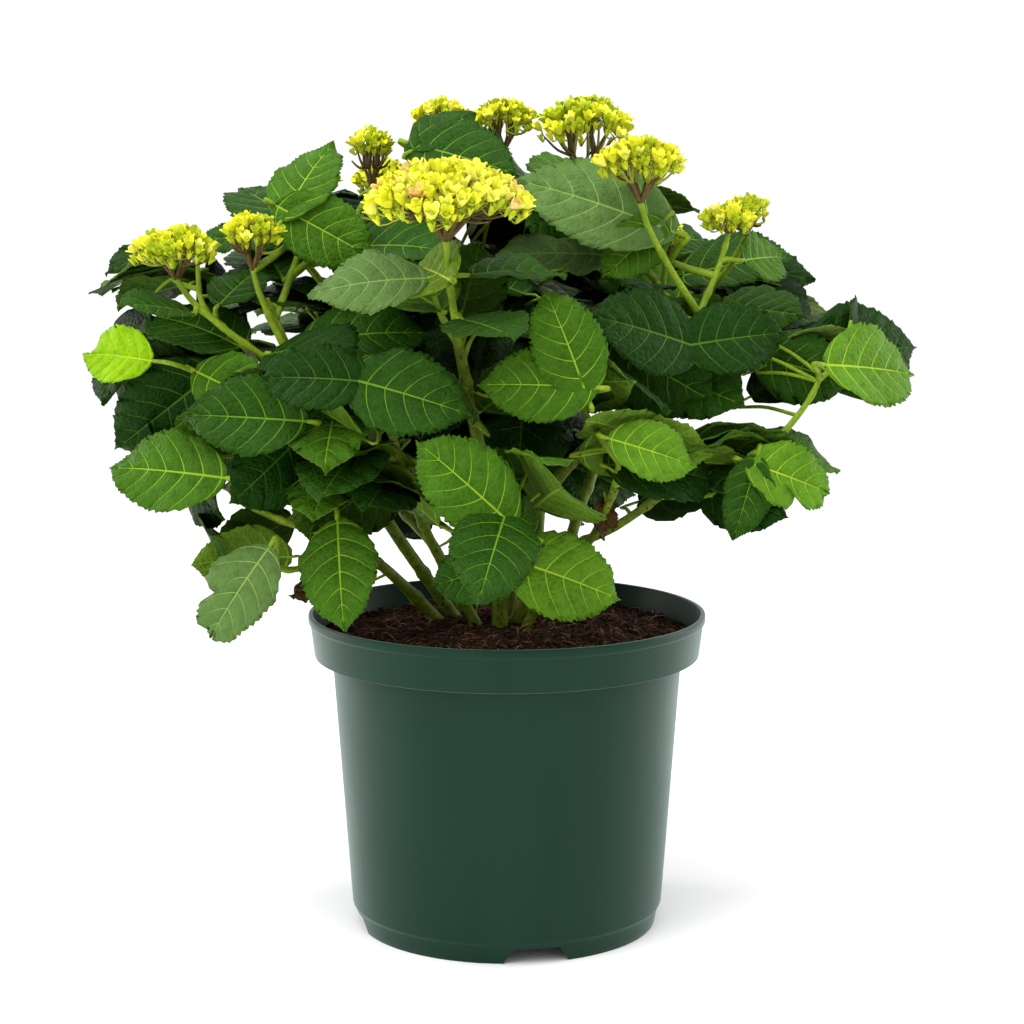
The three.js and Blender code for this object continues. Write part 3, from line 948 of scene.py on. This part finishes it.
def keeps_off(points):
    """Whether a leaf stays in the plant's box, off the heads and the pot, and leaves the gaps open."""
    if np.any(points < CAD_LOW - 0.004) or np.any(points > CAD_HIGH + 0.002):
        return False
    flat = np.linalg.norm(points[:, :2], axis=1)
    if np.any((points[:, 2] < LIP_HEIGHT) & (flat < LIP_CLEAR)) or points[:, 2].min() < LOWEST_LEAF:
        return False
    for centre, radius, low, high in HEAD_ZONES:
        near = np.linalg.norm(points[:, :2] - centre[:2], axis=1) < radius
        if np.mean(near & (points[:, 2] > low) & (points[:, 2] < high)) > 0.02:
            return False
    return outline.share_open(points) < 0.12


def crosses_wood(points, base):
    """Whether a blade would lie through a cane, a shoot or another leaf's stalk, away from its own foot."""
    wood = np.vstack(stem_points + stalk_points)
    wood = wood[np.linalg.norm(wood - points.mean(0), axis=1) < 0.075]
    blade = points[::3]
    blade = blade[np.linalg.norm(blade - base, axis=1) > 0.018]
    if not len(wood) or not len(blade):
        return False
    return np.linalg.norm(blade[:, None] - wood[None], axis=2).min() < WOOD_APART


def lead(place, base, ahead, face, tint, length, width, torn=0.0):
    """One large leaf, if there is room for it, with a stalk from the nearest wood."""
    base, ahead = np.asarray(base), unit(ahead)
    stalk = stalk_line(base, ahead)[0]

    def accept(points):
        middle = points.mean(0)
        if any(np.linalg.norm(other - middle) < LEAF_APART for other, _ in placed_centres):
            return False
        if not keeps_off(points) or crosses_wood(points, base):
            return False
        return all_fan.share_over(points, 0.010) < 0.34 and leading_fan.share_over(stalk, 0.002) < 0.25

    points = put_leaf(
        place, base, ahead, face, tint, length / MM, width / MM,
        bend=rng.uniform(8, 26), fold=rng.uniform(4, 18),
        quilt=rng.uniform(1.0, 1.7), wave=rng.uniform(1.4, 2.6), tooth=rng.uniform(0.05, 0.08), torn=torn,
        accept=accept,
    )
    if points is None:
        return False
    leading_fan.mark(points)
    all_fan.mark(points)
    placed_centres.append((points.mean(0), face))
    stalk_points.append(stalk)
    petiole(base, ahead, 1.2 + 0.011 * length / MM)
    return True


def height_lit_tint(height):
    """A tint painted by height: leaves high in the crown get lighter tints and the greyish painted sheen,
    lower ones darker tints as painted shade.
    """
    share = (height - CAD_LOW[2]) / (CAD_HIGH[2] - CAD_LOW[2])
    lit_tints = ["deep", "mid", "sheen_grey"] if share > 0.78 else ["deep", "deep", "mid", "dark"]
    return rng.choice(lit_tints)


def spray_tips(name, foot, face, count):
    """The mass's furthest points from the foot of its leaves, across their face, and all its points."""
    co = np.array([v.co for v in nodes[name].data.vertices])
    flat = (co - foot) - np.outer((co - foot) @ face, face)
    reach = np.linalg.norm(flat, axis=1)
    tips = []
    for k in reach.argsort()[::-1]:
        way = flat[k] / max(reach[k], 1e-6)
        if all(way @ other < 0.42 for _, other in tips):
            tips.append((co[k], way))
        if len(tips) == count:
            break
    return [tip for tip, _ in tips], co


def mass_leaders(name):
    """Large leaves over a mass, from where its wood comes in to its furthest tips, turned to the light."""
    low, high = box_of(name)
    centre, size = (low + high) / 2, high - low
    away = unit(np.array([centre[0], centre[1], 0.0]) + 1e-4)
    face = unit(UP * 0.55 + FRONT * 1.0 + away * 0.40) if centre[1] < 0.07 else unit(UP + away * 0.8)
    wood = np.vstack(stem_points)
    wood = wood[wood[:, 2] < centre[2] + 0.25 * size[2]]
    foot = wood[np.linalg.norm(wood - centre, axis=1).argmin()]
    count = int(np.clip(round(0.8 * size[0] * size[2] / LEAF_AREA), 1, 4))
    tips, co = spray_tips(name, foot, face, count)
    place = PLACES["_".join(name.split("_")[:2])]
    for number, tip in enumerate(tips):
        tint = SPRAY_TINTS[name] if number == 0 and name in SPRAY_TINTS else height_lit_tint(tip[2])
        longest = YOUNG_LONGEST if tint == "lime" else LEAF_LONGEST
        for attempt in range(16):
            jog = scatter() * 0.0024 * (1 + attempt)
            goal = tip + jog - face * ((tip - centre) @ face) * 0.25
            goal[2] = min(goal[2], CAD_HIGH[2] - 0.006)
            span = goal - foot
            length = float(np.clip(1.12 * np.linalg.norm(span), LEAF_SHORTEST, longest))
            base = goal - unit(span) * length
            near = np.linalg.norm(np.cross(co - base, face), axis=1) < 0.030
            lift = ((co[near] - base) @ face).max() if near.any() else 0.0
            base = base + face * np.clip(0.5 * lift, 0.004, 0.026)
            torn = 0.8 if name in TORN_SPRAYS and number == 0 else 0.0
            width = length * rng.uniform(0.62, 0.76)
            if lead(place, base, goal - base, face, tint, length, width, torn):
                break


def pairs_under(name):
    """The opposite pair of leaves on a head's stalk, and the larger pair below, turned a quarter round."""
    line = stems.get("shoot_" + name, (stem_points[0], None))[0]
    place = "leaves_front" if name == "head_front" else ("leaves_back" if "back" in name else "leaves_top")
    quarter = rng.uniform(0, 90)
    for step, (share, size) in enumerate(((0.72, 0.070), (0.34, 0.090))):
        joint = line[int(share * (len(line) - 1))]
        for side in (0, 180):
            for attempt in range(8):
                turn = quarter + 90 * step + side + rng.gauss(0, 6 + 4 * attempt)
                ahead = aim(turn, rng.uniform(-8, 26))
                face = unit(UP + FRONT * rng.uniform(0.3, 0.8))
                length = size * rng.uniform(0.85, 1.15)
                base = joint + ahead * 0.014
                if lead(place, base, ahead, face, height_lit_tint(joint[2]), length, length * 0.74):
                    break


def withered_leaves():
    """Two small dead leaves: one curled over the pot's left lip, one hanging under the right of the crown."""
    pot_low, pot_high = box_of("pot")
    low, high = box_of("foliage_right_front")
    over_lip = np.array([pot_low[0] + 0.016, 0.0, pot_high[2] + 0.009])
    hanging = np.array([(low[0] + high[0]) / 2 - 0.01, high[1], low[2] - 0.002])
    for base, ahead in ((over_lip, np.array([-1.0, -0.3, 0.1])), (hanging, -UP + FRONT * 0.2)):
        put_leaf(
            "leaves_front", base, ahead, UP + FRONT * 0.4, "withered", 30, 20, bend=70, fold=38,
            quilt=1.2, wave=4.0, curl=0.3, twist=35, tooth=0.09,
        )
        petiole(base, ahead, 0.9)


for name in sorted(MASS_NODES, key=lambda n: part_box(n)[0][1]):
    if "back" not in name and name != "foliage_core":
        mass_leaders(name)
for name in HEAD_NODES:
    pairs_under(name)
for name in HEAD_NODES:
    tri, normal, area = MASS_SHAPES[name]
    surface = spread(tri, area, 2500, 7)[0]
    leading_fan.mark(surface[surface[:, 2] > 0.35 * surface[:, 2].min() + 0.65 * surface[:, 2].max()])
for name in CANE_NODES:
    tri, normal, area = mesh_samples(name)
    surface = spread(tri, area, 900, 9)[0]
    leading_fan.mark(surface[surface[:, 2] < 0.275])
grow_twigs()
fill_leaves()
prune_stems()
withered_leaves()
LEAF_PIECES = {
    "leaves_front": [n for n in MASS_NODES if n.startswith("foliage_front")],
    "leaves_left": [n for n in MASS_NODES if n.startswith("foliage_left")],
    "leaves_right": [n for n in MASS_NODES if n.startswith("foliage_right")],
    "leaves_top": ["foliage_top"],
    "leaves_core": ["foliage_core"],
    "leaves_back": [n for n in MASS_NODES if n.startswith("foliage_back")],
}
for place, masses in LEAF_PIECES.items():
    finish_piece(heaps[place].mesh(place, leaf_materials), masses)

# ------------------------------------------------------------------ bark
def bark(name, tone, light, scale):
    """Green bark with dark specks strewn along it."""
    material = mottled(name, tone, scale, 0.30, 0.5, 0.15, relief=0.0004, light=light)
    tree = material.node_tree
    shader = tree.nodes["Principled BSDF"]
    plain = shader.inputs["Base Color"].links[0].from_socket
    coords = tree.nodes.new("ShaderNodeTexCoord")
    stretch = tree.nodes.new("ShaderNodeMapping")
    stretch.inputs["Scale"].default_value = (1.0, 1.0, 0.45)
    link(tree, coords.outputs["Object"], stretch.inputs["Vector"])
    specks = tree.nodes.new("ShaderNodeTexVoronoi")
    specks.inputs["Scale"].default_value = 260.0
    link(tree, stretch.outputs["Vector"], specks.inputs["Vector"])
    spot = ramp(tree, specks.outputs["Distance"], 0.16, 0.24, 0.9, 0.0)
    link(tree, mix_colour(tree, spot, plain, (0.035, 0.022, 0.008)), shader.inputs["Base Color"])
    return material


bark_main = bark("cane_bark", (0.090, 0.140, 0.008), (0.165, 0.225, 0.014), 110.0)
bark_young = mottled("green_shoot", (0.150, 0.245, 0.010), 90.0, 0.2, 0.48, 0.15, light=(0.24, 0.36, 0.018))
cane_heap = stem_tubes()
finish_piece(cane_heap.mesh("canes", [bark_main, bark_young]), CANE_NODES)
finish_piece(petioles.mesh("leaf_stalks", [bark_main, bark_young]))

# ------------------------------------------------------------------ flower heads
def floret_blank():
    """A cupped floret: four sepals that rise from a narrow foot and turn out at the lip, round a bud."""
    bm = bmesh.new()
    bmesh.ops.create_grid(bm, x_segments=2, y_segments=4, size=1.0)
    for v in bm.verts:
        across, t = v.co.x, (v.co.y + 1) / 2
        radius = 0.14 + 0.50 * math.sin(1.45 * t**0.8) + 0.10 * t**5
        half = math.radians(50) * (1.0 if t < 0.5 else math.sqrt(max(0.0, 1 - ((t - 0.5) / 0.56) ** 2)))
        radius *= 1 - 0.10 * abs(across) ** 2
        turn = across * half
        v.co = (radius * math.sin(turn), radius * math.cos(turn), 1.18 * t - 0.06 * abs(across))
    quarter = bm.verts[:] + bm.edges[:] + bm.faces[:]
    for k in (1, 2, 3):
        made = bmesh.ops.duplicate(bm, geom=quarter)["geom"]
        verts = [g for g in made if isinstance(g, bmesh.types.BMVert)]
        bmesh.ops.rotate(bm, verts=verts, cent=(0, 0, 0), matrix=Matrix.Rotation(k * math.pi / 2, 3, "Z"))
        bmesh.ops.scale(bm, verts=verts, vec=(1, 1, 1 - 0.07 * (k % 2)))
    for face in bm.faces:
        middle = face.calc_center_median()
        if face.normal.dot(Vector((middle.x, middle.y, 0))) < 0:
            face.normal_flip()
    count = len(bm.faces)
    bud = bmesh.ops.create_cube(bm, size=0.42)["verts"]
    bmesh.ops.translate(bm, verts=bud, vec=(0, 0, 0.34))
    bm.verts.index_update()
    points = np.array([v.co for v in bm.verts])
    faces = np.array([[v.index for v in f.verts] for f in bm.faces])
    finishes = np.zeros(len(faces), int)
    finishes[count:] = 1
    bm.free()
    return points, faces, finishes


FLORET = floret_blank()
HEAD_DROOP = 0.10
GOLDEN_TURN = 2.39996
BUD_TINT = 3
florets = Heap()
rays = Heap()


def put_floret(foot, normal, size, tint, tall, wide):
    """Lays one floret into its heap, turned at random about the way it looks."""
    points, faces, finishes = FLORET
    spin = rng.uniform(0, FULL_TURN)
    c, s = math.cos(spin), math.sin(spin)
    local = points * [wide, wide, tall]
    local = np.stack([local[:, 0] * c - local[:, 1] * s, local[:, 0] * s + local[:, 1] * c, local[:, 2]], 1)
    up = unit(normal)
    a = unit(np.cross([0.3, 0.9, 0.2], up))
    placed = local @ np.stack([a, np.cross(up, a), up]) * size + foot
    florets.add(placed, faces, np.where(finishes == 1, BUD_TINT, tint))


def flower_head(name):
    """A flat-topped head: rays from the stalk's end branch twice and end in close-set cupped florets."""
    low, high = box_of(name)
    centre = (low + high) / 2
    radius = (high - low)[:2].max() / 2
    tall = high[2] - low[2]
    big = radius > 0.04
    size = 0.0072 if big else (0.0061 if radius > 0.024 else 0.0054)
    foot = np.array([centre[0], centre[1], low[2]])
    points = np.vstack(stem_points)
    tip = points[np.linalg.norm(points - foot, axis=1).argmin()]
    foot = tip if np.linalg.norm(tip - foot) < 0.03 else foot
    dome = (0.42 if big else 0.34) * tall
    top = high[2] - size * 1.25

    def base_at(flat):
        """A point on the head's dome, which droops toward the front on a big head."""
        r = np.linalg.norm(flat) / radius
        droop = HEAD_DROOP * tall * max(0.0, -flat[1] / radius) if big else 0.0
        rise = top - dome * r**2.3 - droop
        return np.array([centre[0] + flat[0], centre[1] + flat[1], rise])

    knots = []
    main = 8 if big else 6
    for k in range(main):
        turn = 2 * math.pi * k / main + rng.uniform(-0.25, 0.25)
        out = np.array([math.cos(turn), math.sin(turn)])
        knee = base_at(out * radius * 0.42)
        knee = foot * 0.5 + knee * 0.5
        knee[2] = foot[2] + (top - foot[2]) * 0.36
        knee[:2] = foot[:2] + out * radius * 0.30
        line = smooth_path([foot, foot * 0.6 + knee * 0.4, knee], 7)
        rays.add(*tube(line, np.linspace(1.7, 1.25, 7) * MM * (1.2 if big else 0.9), 6, 0))
        for m in range(5 if big else 4):
            fan = turn + rng.uniform(-0.5, 0.5)
            reach = radius * ((m + 0.6) / (5 if big else 4)) * rng.uniform(0.85, 1.0)
            goal = base_at(np.array([math.cos(fan), math.sin(fan)]) * reach)
            goal[2] -= size * rng.uniform(1.0, 1.5)
            line = smooth_path([knee, knee * 0.5 + goal * 0.5 + np.array([0, 0, -0.04 * tall]), goal], 6)
            rays.add(*tube(line, np.linspace(1.15, 0.7, 6) * MM, 5, 0 if rng.random() < 0.55 else 1))
            knots.append(goal)
    knots = np.array(knots)
    spacing = size * (0.98 if big else 1.10)
    count = int(math.pi * radius**2 / spacing**2 * 1.02)
    for i in range(count):
        r = math.sqrt((i + 0.5) / count)
        turn = i * GOLDEN_TURN + rng.uniform(-0.12, 0.12)
        lobes = 1 + 0.07 * math.sin(5 * turn + centre[0] * 90) + 0.05 * math.sin(3 * turn + 40 * centre[1])
        flat = np.array([math.cos(turn), math.sin(turn)]) * r * (radius - size * 0.5) * lobes
        spot = base_at(flat)
        spot[2] += size * (rng.uniform(-0.45, 0.25))
        lean = np.array([*(flat / radius * (0.35 + 0.75 * r**3)), 1.0]) + 0.16 * scatter()
        lean[1] -= 0.12
        pick = rng.random()
        if big:
            tint = 2 if (pick < 0.12 and r > 0.55) else (4 if pick < 0.62 else 1)
        else:
            tint = 1 if pick < 0.55 else (0 if pick < 0.85 else 4)
        put_floret(
            spot, lean, size * rng.uniform(0.82, 1.12), tint, rng.uniform(0.9, 1.2), rng.uniform(0.9, 1.15)
        )
        near = knots[np.linalg.norm(knots - spot, axis=1).argmin()]
        stem_line = smooth_path([near, spot * 0.6 + near * 0.4 - np.array([0, 0, 0.15 * size]), spot], 4)
        rays.add(*tube(stem_line, np.array([0.6, 0.5, 0.55, 0.8]) * MM, 4, 1))
        if r > 0.50:
            out = unit(np.array([*flat, 0.0]))
            drop = spot + np.array([0, 0, -size * rng.uniform(0.9, 1.5)])
            drop = drop + out * size * rng.uniform(-0.35, 0.1)
            put_floret(
                drop, out * rng.uniform(0.4, 0.9) + UP, size * rng.uniform(0.62, 0.85),
                0 if rng.random() < 0.6 else 1, 1.25, 0.8,
            )
            stem_line = smooth_path([near, (near + drop) / 2 - np.array([0, 0, 0.2 * size]), drop], 4)
            rays.add(*tube(stem_line, np.array([0.6, 0.5, 0.5, 0.7]) * MM, 4, 1))


for head in HEAD_NODES:
    flower_head(head)
blossom_finishes = [
    mottled("sepal_green", (0.40, 0.50, 0.012), 160.0, 0.16, 0.5, 0.2, light=(0.56, 0.64, 0.025)),
    mottled("sepal_yellow", (0.74, 0.75, 0.020), 160.0, 0.12, 0.5, 0.2, light=(0.84, 0.83, 0.05)),
    mottled("sepal_pink", (0.86, 0.60, 0.22), 160.0, 0.16, 0.5, 0.2, light=(0.84, 0.66, 0.20)),
    mottled("bud_green", (0.28, 0.38, 0.015), 200.0, 0.16, 0.5, 0.2),
    mottled("sepal_pale", (0.90, 0.86, 0.075), 160.0, 0.12, 0.5, 0.2, light=(0.93, 0.90, 0.18)),
]
ray_brown = mottled("ray_brown", (0.085, 0.050, 0.012), 150.0, 0.3, 0.55, 0.25, light=(0.13, 0.09, 0.018))
ray_olive = mottled("ray_olive", (0.26, 0.29, 0.020), 150.0, 0.2, 0.5, 0.25)
finish_piece(florets.mesh("florets", blossom_finishes), HEAD_NODES)
finish_piece(rays.mesh("flower_rays", [ray_brown, ray_olive]))

# ------------------------------------------------------------------ pot
pot_low, pot_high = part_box("pot")
LIP_RADIUS = (pot_high.x - pot_low.x) / 2
# The outline is in millimetres, with radii for a lip of this radius. LIP scales them to the pot's.
NOMINAL_LIP = 140.0
LIP = LIP_RADIUS / (NOMINAL_LIP * MM)
BRIM = pot_high.z / MM
LIP_UNDER = BRIM - 29.9
POT_PROFILE = [
    # the underside of the floor, the foot ring and the step above it
    (0.0, 12.0), (102.4, 12.0), (103.2, 11.0), (103.3, 0.6), (103.8, 0.0), (105.4, 0.0), (105.9, 0.7),
    (106.9, 6.0), (108.5, 12.4), (109.0, 13.6), (110.2, 15.0), (110.5, 16.2),
    # the wall, and the underside of the lip
    (123.2, LIP_UNDER - 2.1), (123.8, LIP_UNDER - 0.5), (125.0, LIP_UNDER), (134.6, LIP_UNDER),
    (135.5, LIP_UNDER + 0.4), (135.8, LIP_UNDER + 1.3),
    # the lip's band and its rounded brim
    (138.5, BRIM - 7.2), (138.9, BRIM - 6.2), (139.7, BRIM - 5.6), (NOMINAL_LIP, BRIM - 4.6),
    (NOMINAL_LIP, BRIM - 1.4), (139.7, BRIM - 0.4), (138.9, BRIM), (137.6, BRIM), (136.8, BRIM - 0.4),
    (136.3, BRIM - 1.6),
    # the inside, down to the top of the floor
    (133.3, LIP_UNDER + 3.7), (132.2, LIP_UNDER + 2.5), (122.2, LIP_UNDER + 2.3), (121.4, LIP_UNDER + 1.3),
    (108.3, 18.0), (106.4, 14.8), (0.0, 14.6),
]
SLOT_COUNT, SLOT_TURN = 4, -79
SLOT_FOOT_WIDTH, SLOT_TOP_WIDTH = 46.6, 32.0
SLOT_DEPTH, SLOT_RADIUS = 30, 104
SLOT_TOP, SLOT_BELOW = 10.6, -1.0


def turned_piece(name, profile, steps):
    """A solid of revolution by a full spin of its half outline."""
    bm = bmesh.new()
    verts = [bm.verts.new((r * LIP * MM, 0, z * MM)) for r, z in profile]
    edges = [bm.edges.new(pair) for pair in zip(verts[:-1], verts[1:])]
    bmesh.ops.spin(
        bm, geom=verts + edges, cent=(0, 0, 0), axis=(0, 0, 1), angle=2 * math.pi, steps=steps,
        use_merge=True, use_duplicate=False,
    )
    bmesh.ops.remove_doubles(bm, verts=bm.verts[:], dist=1e-6)
    bmesh.ops.recalc_face_normals(bm, faces=bm.faces[:])
    mesh = bpy.data.meshes.new(name)
    bm.to_mesh(mesh)
    bm.free()
    return bpy.data.objects.new(name, mesh)


def slot_cutters():
    """Four blocks, wider at the foot, that cut the drain slots as the CAD pot has them."""
    bm = bmesh.new()
    for k in range(SLOT_COUNT):
        made = bmesh.ops.create_cube(bm, size=1.0)["verts"]
        for v in made:
            wide = SLOT_FOOT_WIDTH if v.co.z < 0 else SLOT_TOP_WIDTH
            height = SLOT_TOP if v.co.z > 0 else SLOT_BELOW
            v.co = (v.co.x * SLOT_DEPTH + SLOT_RADIUS, v.co.y * wide, height)
        bmesh.ops.scale(bm, verts=made, vec=(MM, MM, MM))
        turn = Matrix.Rotation(math.radians(SLOT_TURN + 360 / SLOT_COUNT * k), 3, "Z")
        bmesh.ops.rotate(bm, verts=made, cent=(0, 0, 0), matrix=turn)
    mesh = bpy.data.meshes.new("slot_cutters")
    bm.to_mesh(mesh)
    bm.free()
    return bpy.data.objects.new("slot_cutters", mesh)


def cut_and_apply(obj, cutter):
    """Cuts one piece by another and keeps the result as its mesh."""
    for o in (obj, cutter):
        bpy.context.scene.collection.objects.link(o)
    boolean = obj.modifiers.new("slots", "BOOLEAN")
    boolean.operation = "DIFFERENCE"
    boolean.solver = "EXACT"
    boolean.object = cutter
    bpy.context.view_layer.update()
    made = bpy.data.meshes.new_from_object(obj.evaluated_get(bpy.context.evaluated_depsgraph_get()))
    obj.modifiers.clear()
    obj.data = made
    bpy.data.objects.remove(cutter)
    return obj


pot = cut_and_apply(turned_piece("nursery_pot", POT_PROFILE, 160), slot_cutters())


def pot_plastic():
    """Satin moulded plastic: faint flow marks, fine scuffs and dust that settles low down."""
    material, tree, shader = new_material("pot_plastic", 0.36, 0.12)
    coords = tree.nodes.new("ShaderNodeTexCoord")
    stretch = tree.nodes.new("ShaderNodeMapping")
    stretch.inputs["Scale"].default_value = (1.0, 1.0, 0.12)
    link(tree, coords.outputs["Object"], stretch.inputs["Vector"])
    flow = noise_node(tree, stretch.outputs["Vector"], 30.0, 2.0)
    cloud = noise_node(tree, coords.outputs["Object"], 9.0, 3.0)
    scuff = noise_node(tree, coords.outputs["Object"], 900.0, 2.0)
    base = mix_colour(
        tree, ramp(tree, flow.outputs["Fac"], 0.3, 0.7), (0.0034, 0.0245, 0.0128), (0.0044, 0.0285, 0.0155)
    )
    split = tree.nodes.new("ShaderNodeSeparateXYZ")
    link(tree, coords.outputs["Object"], split.inputs["Vector"])
    low = ramp(tree, split.outputs["Z"], 0.06, 0.0, 0.0, 0.16)
    dusty = tree.nodes.new("ShaderNodeMath")
    dusty.operation = "MULTIPLY"
    link(tree, low, dusty.inputs[0])
    link(tree, ramp(tree, cloud.outputs["Fac"], 0.4, 0.7), dusty.inputs[1])
    colour = mix_colour(tree, dusty.outputs["Value"], base, (0.020, 0.050, 0.034))
    shader.inputs["Sheen Weight"].default_value = 0.30
    shader.inputs["Sheen Roughness"].default_value = 0.35
    shader.inputs["Sheen Tint"].default_value = (0.72, 1.0, 0.92, 1)
    link(tree, colour, shader.inputs["Base Color"])
    rough = ramp(tree, cloud.outputs["Fac"], 0.3, 0.75, 0.34, 0.46)
    link(tree, rough, shader.inputs["Roughness"])
    bump = tree.nodes.new("ShaderNodeBump")
    bump.inputs["Strength"].default_value = 0.12
    bump.inputs["Distance"].default_value = 0.0002
    link(tree, scuff.outputs["Fac"], bump.inputs["Height"])
    link(tree, bump.outputs["Normal"], shader.inputs["Normal"])
    return material


pot.data.materials.append(pot_plastic())
finish_piece(pot, ["pot"])
pot.data.set_sharp_from_angle(angle=math.radians(38))


# ------------------------------------------------------------------ compost
# How tall each size of lump is, in millimetres, and how many times finer than the broadest it is.
COMPOST_LUMPS = ((2.2, 1.0), (1.6, 2.3), (1.0, 5.1), (0.5, 11.0))


def compost_height(x, y, base, radius):
    """The bed's height at a place: a low mound that falls to the wall, with lumps of four sizes."""
    far = math.hypot(x, y)
    mound = 2.6 * math.exp(-((far / 0.06) ** 2)) - 3.2 * (far / radius) ** 3
    p = Vector((x * 55, y * 55, 3.1))
    rough = sum(tall * noise.noise(p * fine) for tall, fine in COMPOST_LUMPS)
    return base + (mound + rough) * MM


SOIL_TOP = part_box("soil")[1].z - 0.0015
SOIL_RADIUS = 0.1328
CHIP_COUNT = 3400


def compost_bed():
    """A lumpy disc with a short skirt inside the pot."""
    bm = bmesh.new()
    rim = 46
    verts = [bm.verts.new((SOIL_RADIUS * (k / rim) ** 0.9, 0, 0)) for k in range(rim + 1)]
    verts.append(bm.verts.new((SOIL_RADIUS, 0, -0.006)))
    edges = [bm.edges.new(pair) for pair in zip(verts[:-1], verts[1:])]
    bmesh.ops.spin(
        bm, geom=verts + edges, cent=(0, 0, 0), axis=(0, 0, 1), angle=2 * math.pi, steps=150,
        use_merge=True, use_duplicate=False,
    )
    bmesh.ops.remove_doubles(bm, verts=bm.verts[:], dist=1e-6)
    for v in bm.verts:
        drop = v.co.z
        v.co.z = compost_height(v.co.x, v.co.y, SOIL_TOP, SOIL_RADIUS) + drop
    bmesh.ops.recalc_face_normals(bm, faces=bm.faces[:])
    if bm.faces and sum(f.normal.z for f in bm.faces) < 0:
        bmesh.ops.reverse_faces(bm, faces=bm.faces[:])
    mesh = bpy.data.meshes.new("compost")
    bm.to_mesh(mesh)
    bm.free()
    return bpy.data.objects.new("compost", mesh)


def compost_bits():
    """Bark chips and fibres scattered on the bed."""
    heap = Heap()
    for _ in range(CHIP_COUNT):
        turn, far = rng.uniform(0, FULL_TURN), SOIL_RADIUS * 0.975 * math.sqrt(rng.random())
        x, y = far * math.cos(turn), far * math.sin(turn)
        z = compost_height(x, y, SOIL_TOP, SOIL_RADIUS)
        fibre = rng.random() < 0.3
        long = rng.uniform(4, 15) if fibre else rng.uniform(1.6, 6.5)
        thick = rng.uniform(0.3, 0.7) if fibre else long * rng.uniform(0.22, 0.45)
        ahead = aim(rng.uniform(0, 360), rng.uniform(-25, 30))
        bow = np.array([rng.gauss(0, 1), rng.gauss(0, 1), abs(rng.gauss(0, 1))])
        bow = bow * (0.14 if fibre else 0.05) * long
        start = np.array([x, y, z + 0.4 * MM])
        line = smooth_path([start, start + (ahead * long / 2 + bow) * MM, start + ahead * long * MM], 4)
        radius = np.array([0.5, 1.0, 0.9, 0.4]) * thick / 2 * MM
        if not fibre:
            radius = radius * rng.uniform(0.8, 1.3)
        top = line[:, :2]
        if np.linalg.norm(top, axis=1).max() > SOIL_RADIUS * 0.985:
            continue
        heap.add(*tube(line, radius, 4, rng.choice([0, 0, 1, 1, 2] if not fibre else [1, 2, 3])))
    return heap


compost = compost_bed()
compost.data.materials.append(
    mottled(
        "compost_dark", (0.016, 0.008, 0.004), 160.0, 0.5, 0.95, 0.1,
        relief=0.0012, light=(0.040, 0.019, 0.009),
    )
)
finish_piece(compost, ["soil"])
chips = [
    mottled("chip_black", (0.012, 0.007, 0.004), 200.0, 0.4, 0.9, 0.15),
    mottled("chip_brown", (0.055, 0.022, 0.009), 200.0, 0.4, 0.88, 0.15),
    mottled("chip_red", (0.125, 0.048, 0.020), 200.0, 0.35, 0.85, 0.15),
    mottled("chip_tan", (0.34, 0.19, 0.095), 200.0, 0.3, 0.85, 0.2),
]
finish_piece(compost_bits().mesh("compost_bits", chips), smooth=False)

# ------------------------------------------------------------------ floor, light and camera
floor_mesh = bpy.data.meshes.new("floor")
bm = bmesh.new()
bmesh.ops.create_grid(bm, x_segments=1, y_segments=1, size=14.0)
bm.to_mesh(floor_mesh)
bm.free()
floor = bpy.data.objects.new("floor", floor_mesh)
bpy.context.scene.collection.objects.link(floor)
floor_finish, _, floor_shader = new_material("floor_paper", 0.9, 0.1)
floor_shader.inputs["Base Color"].default_value = (0.96, 0.96, 0.96, 1)
floor_mesh.materials.append(floor_finish)

world = bpy.data.worlds.new("studio")
bpy.context.scene.world = world
world.use_nodes = True
world.node_tree.nodes["Background"].inputs["Color"].default_value = (1.0, 1.0, 1.0, 1)
world.node_tree.nodes["Background"].inputs["Strength"].default_value = 1.06


def soft_light(name, place, toward, size, power, colour=(1, 1, 1)):
    """A rectangular soft light that looks toward a place."""
    light = bpy.data.lights.new(name, "AREA")
    light.shape = "RECTANGLE"
    light.size, light.size_y = size
    light.energy = power
    light.color = colour
    obj = bpy.data.objects.new(name, light)
    obj.location = place
    obj.rotation_euler = (Vector(toward) - Vector(place)).to_track_quat("-Z", "Y").to_euler()
    bpy.context.scene.collection.objects.link(obj)


soft_light("overhead", (-0.25, -0.35, 2.0), (0, 0, 0.35), (1.6, 1.4), 26)
soft_light("key", (-1.3, -1.5, 1.5), (0, 0, 0.35), (1.0, 1.0), 14)
soft_light("strip_left", (-1.5, 0.5, 0.7), (0, 0, 0.3), (0.5, 1.3), 11)
soft_light("strip_right", (1.5, 0.5, 0.7), (0, 0, 0.3), (0.5, 1.3), 11)

LENS = 89.02
CAMERA_PLACE = (0.0036, -1.750, 0.5556)
LOOK_DOWN = 0.1491
camera_data = bpy.data.cameras.new("camera")
camera_data.sensor_width = 36.0
camera_data.lens = LENS
camera_data.clip_start, camera_data.clip_end = 0.05, 60.0
camera = bpy.data.objects.new("camera", camera_data)
camera.location = CAMERA_PLACE
camera.rotation_euler = (math.pi / 2 - LOOK_DOWN, 0, 0)
bpy.context.scene.collection.objects.link(camera)
bpy.context.scene.camera = camera
bpy.context.scene.view_settings.view_transform = "Standard"

bpy.context.view_layer.update()
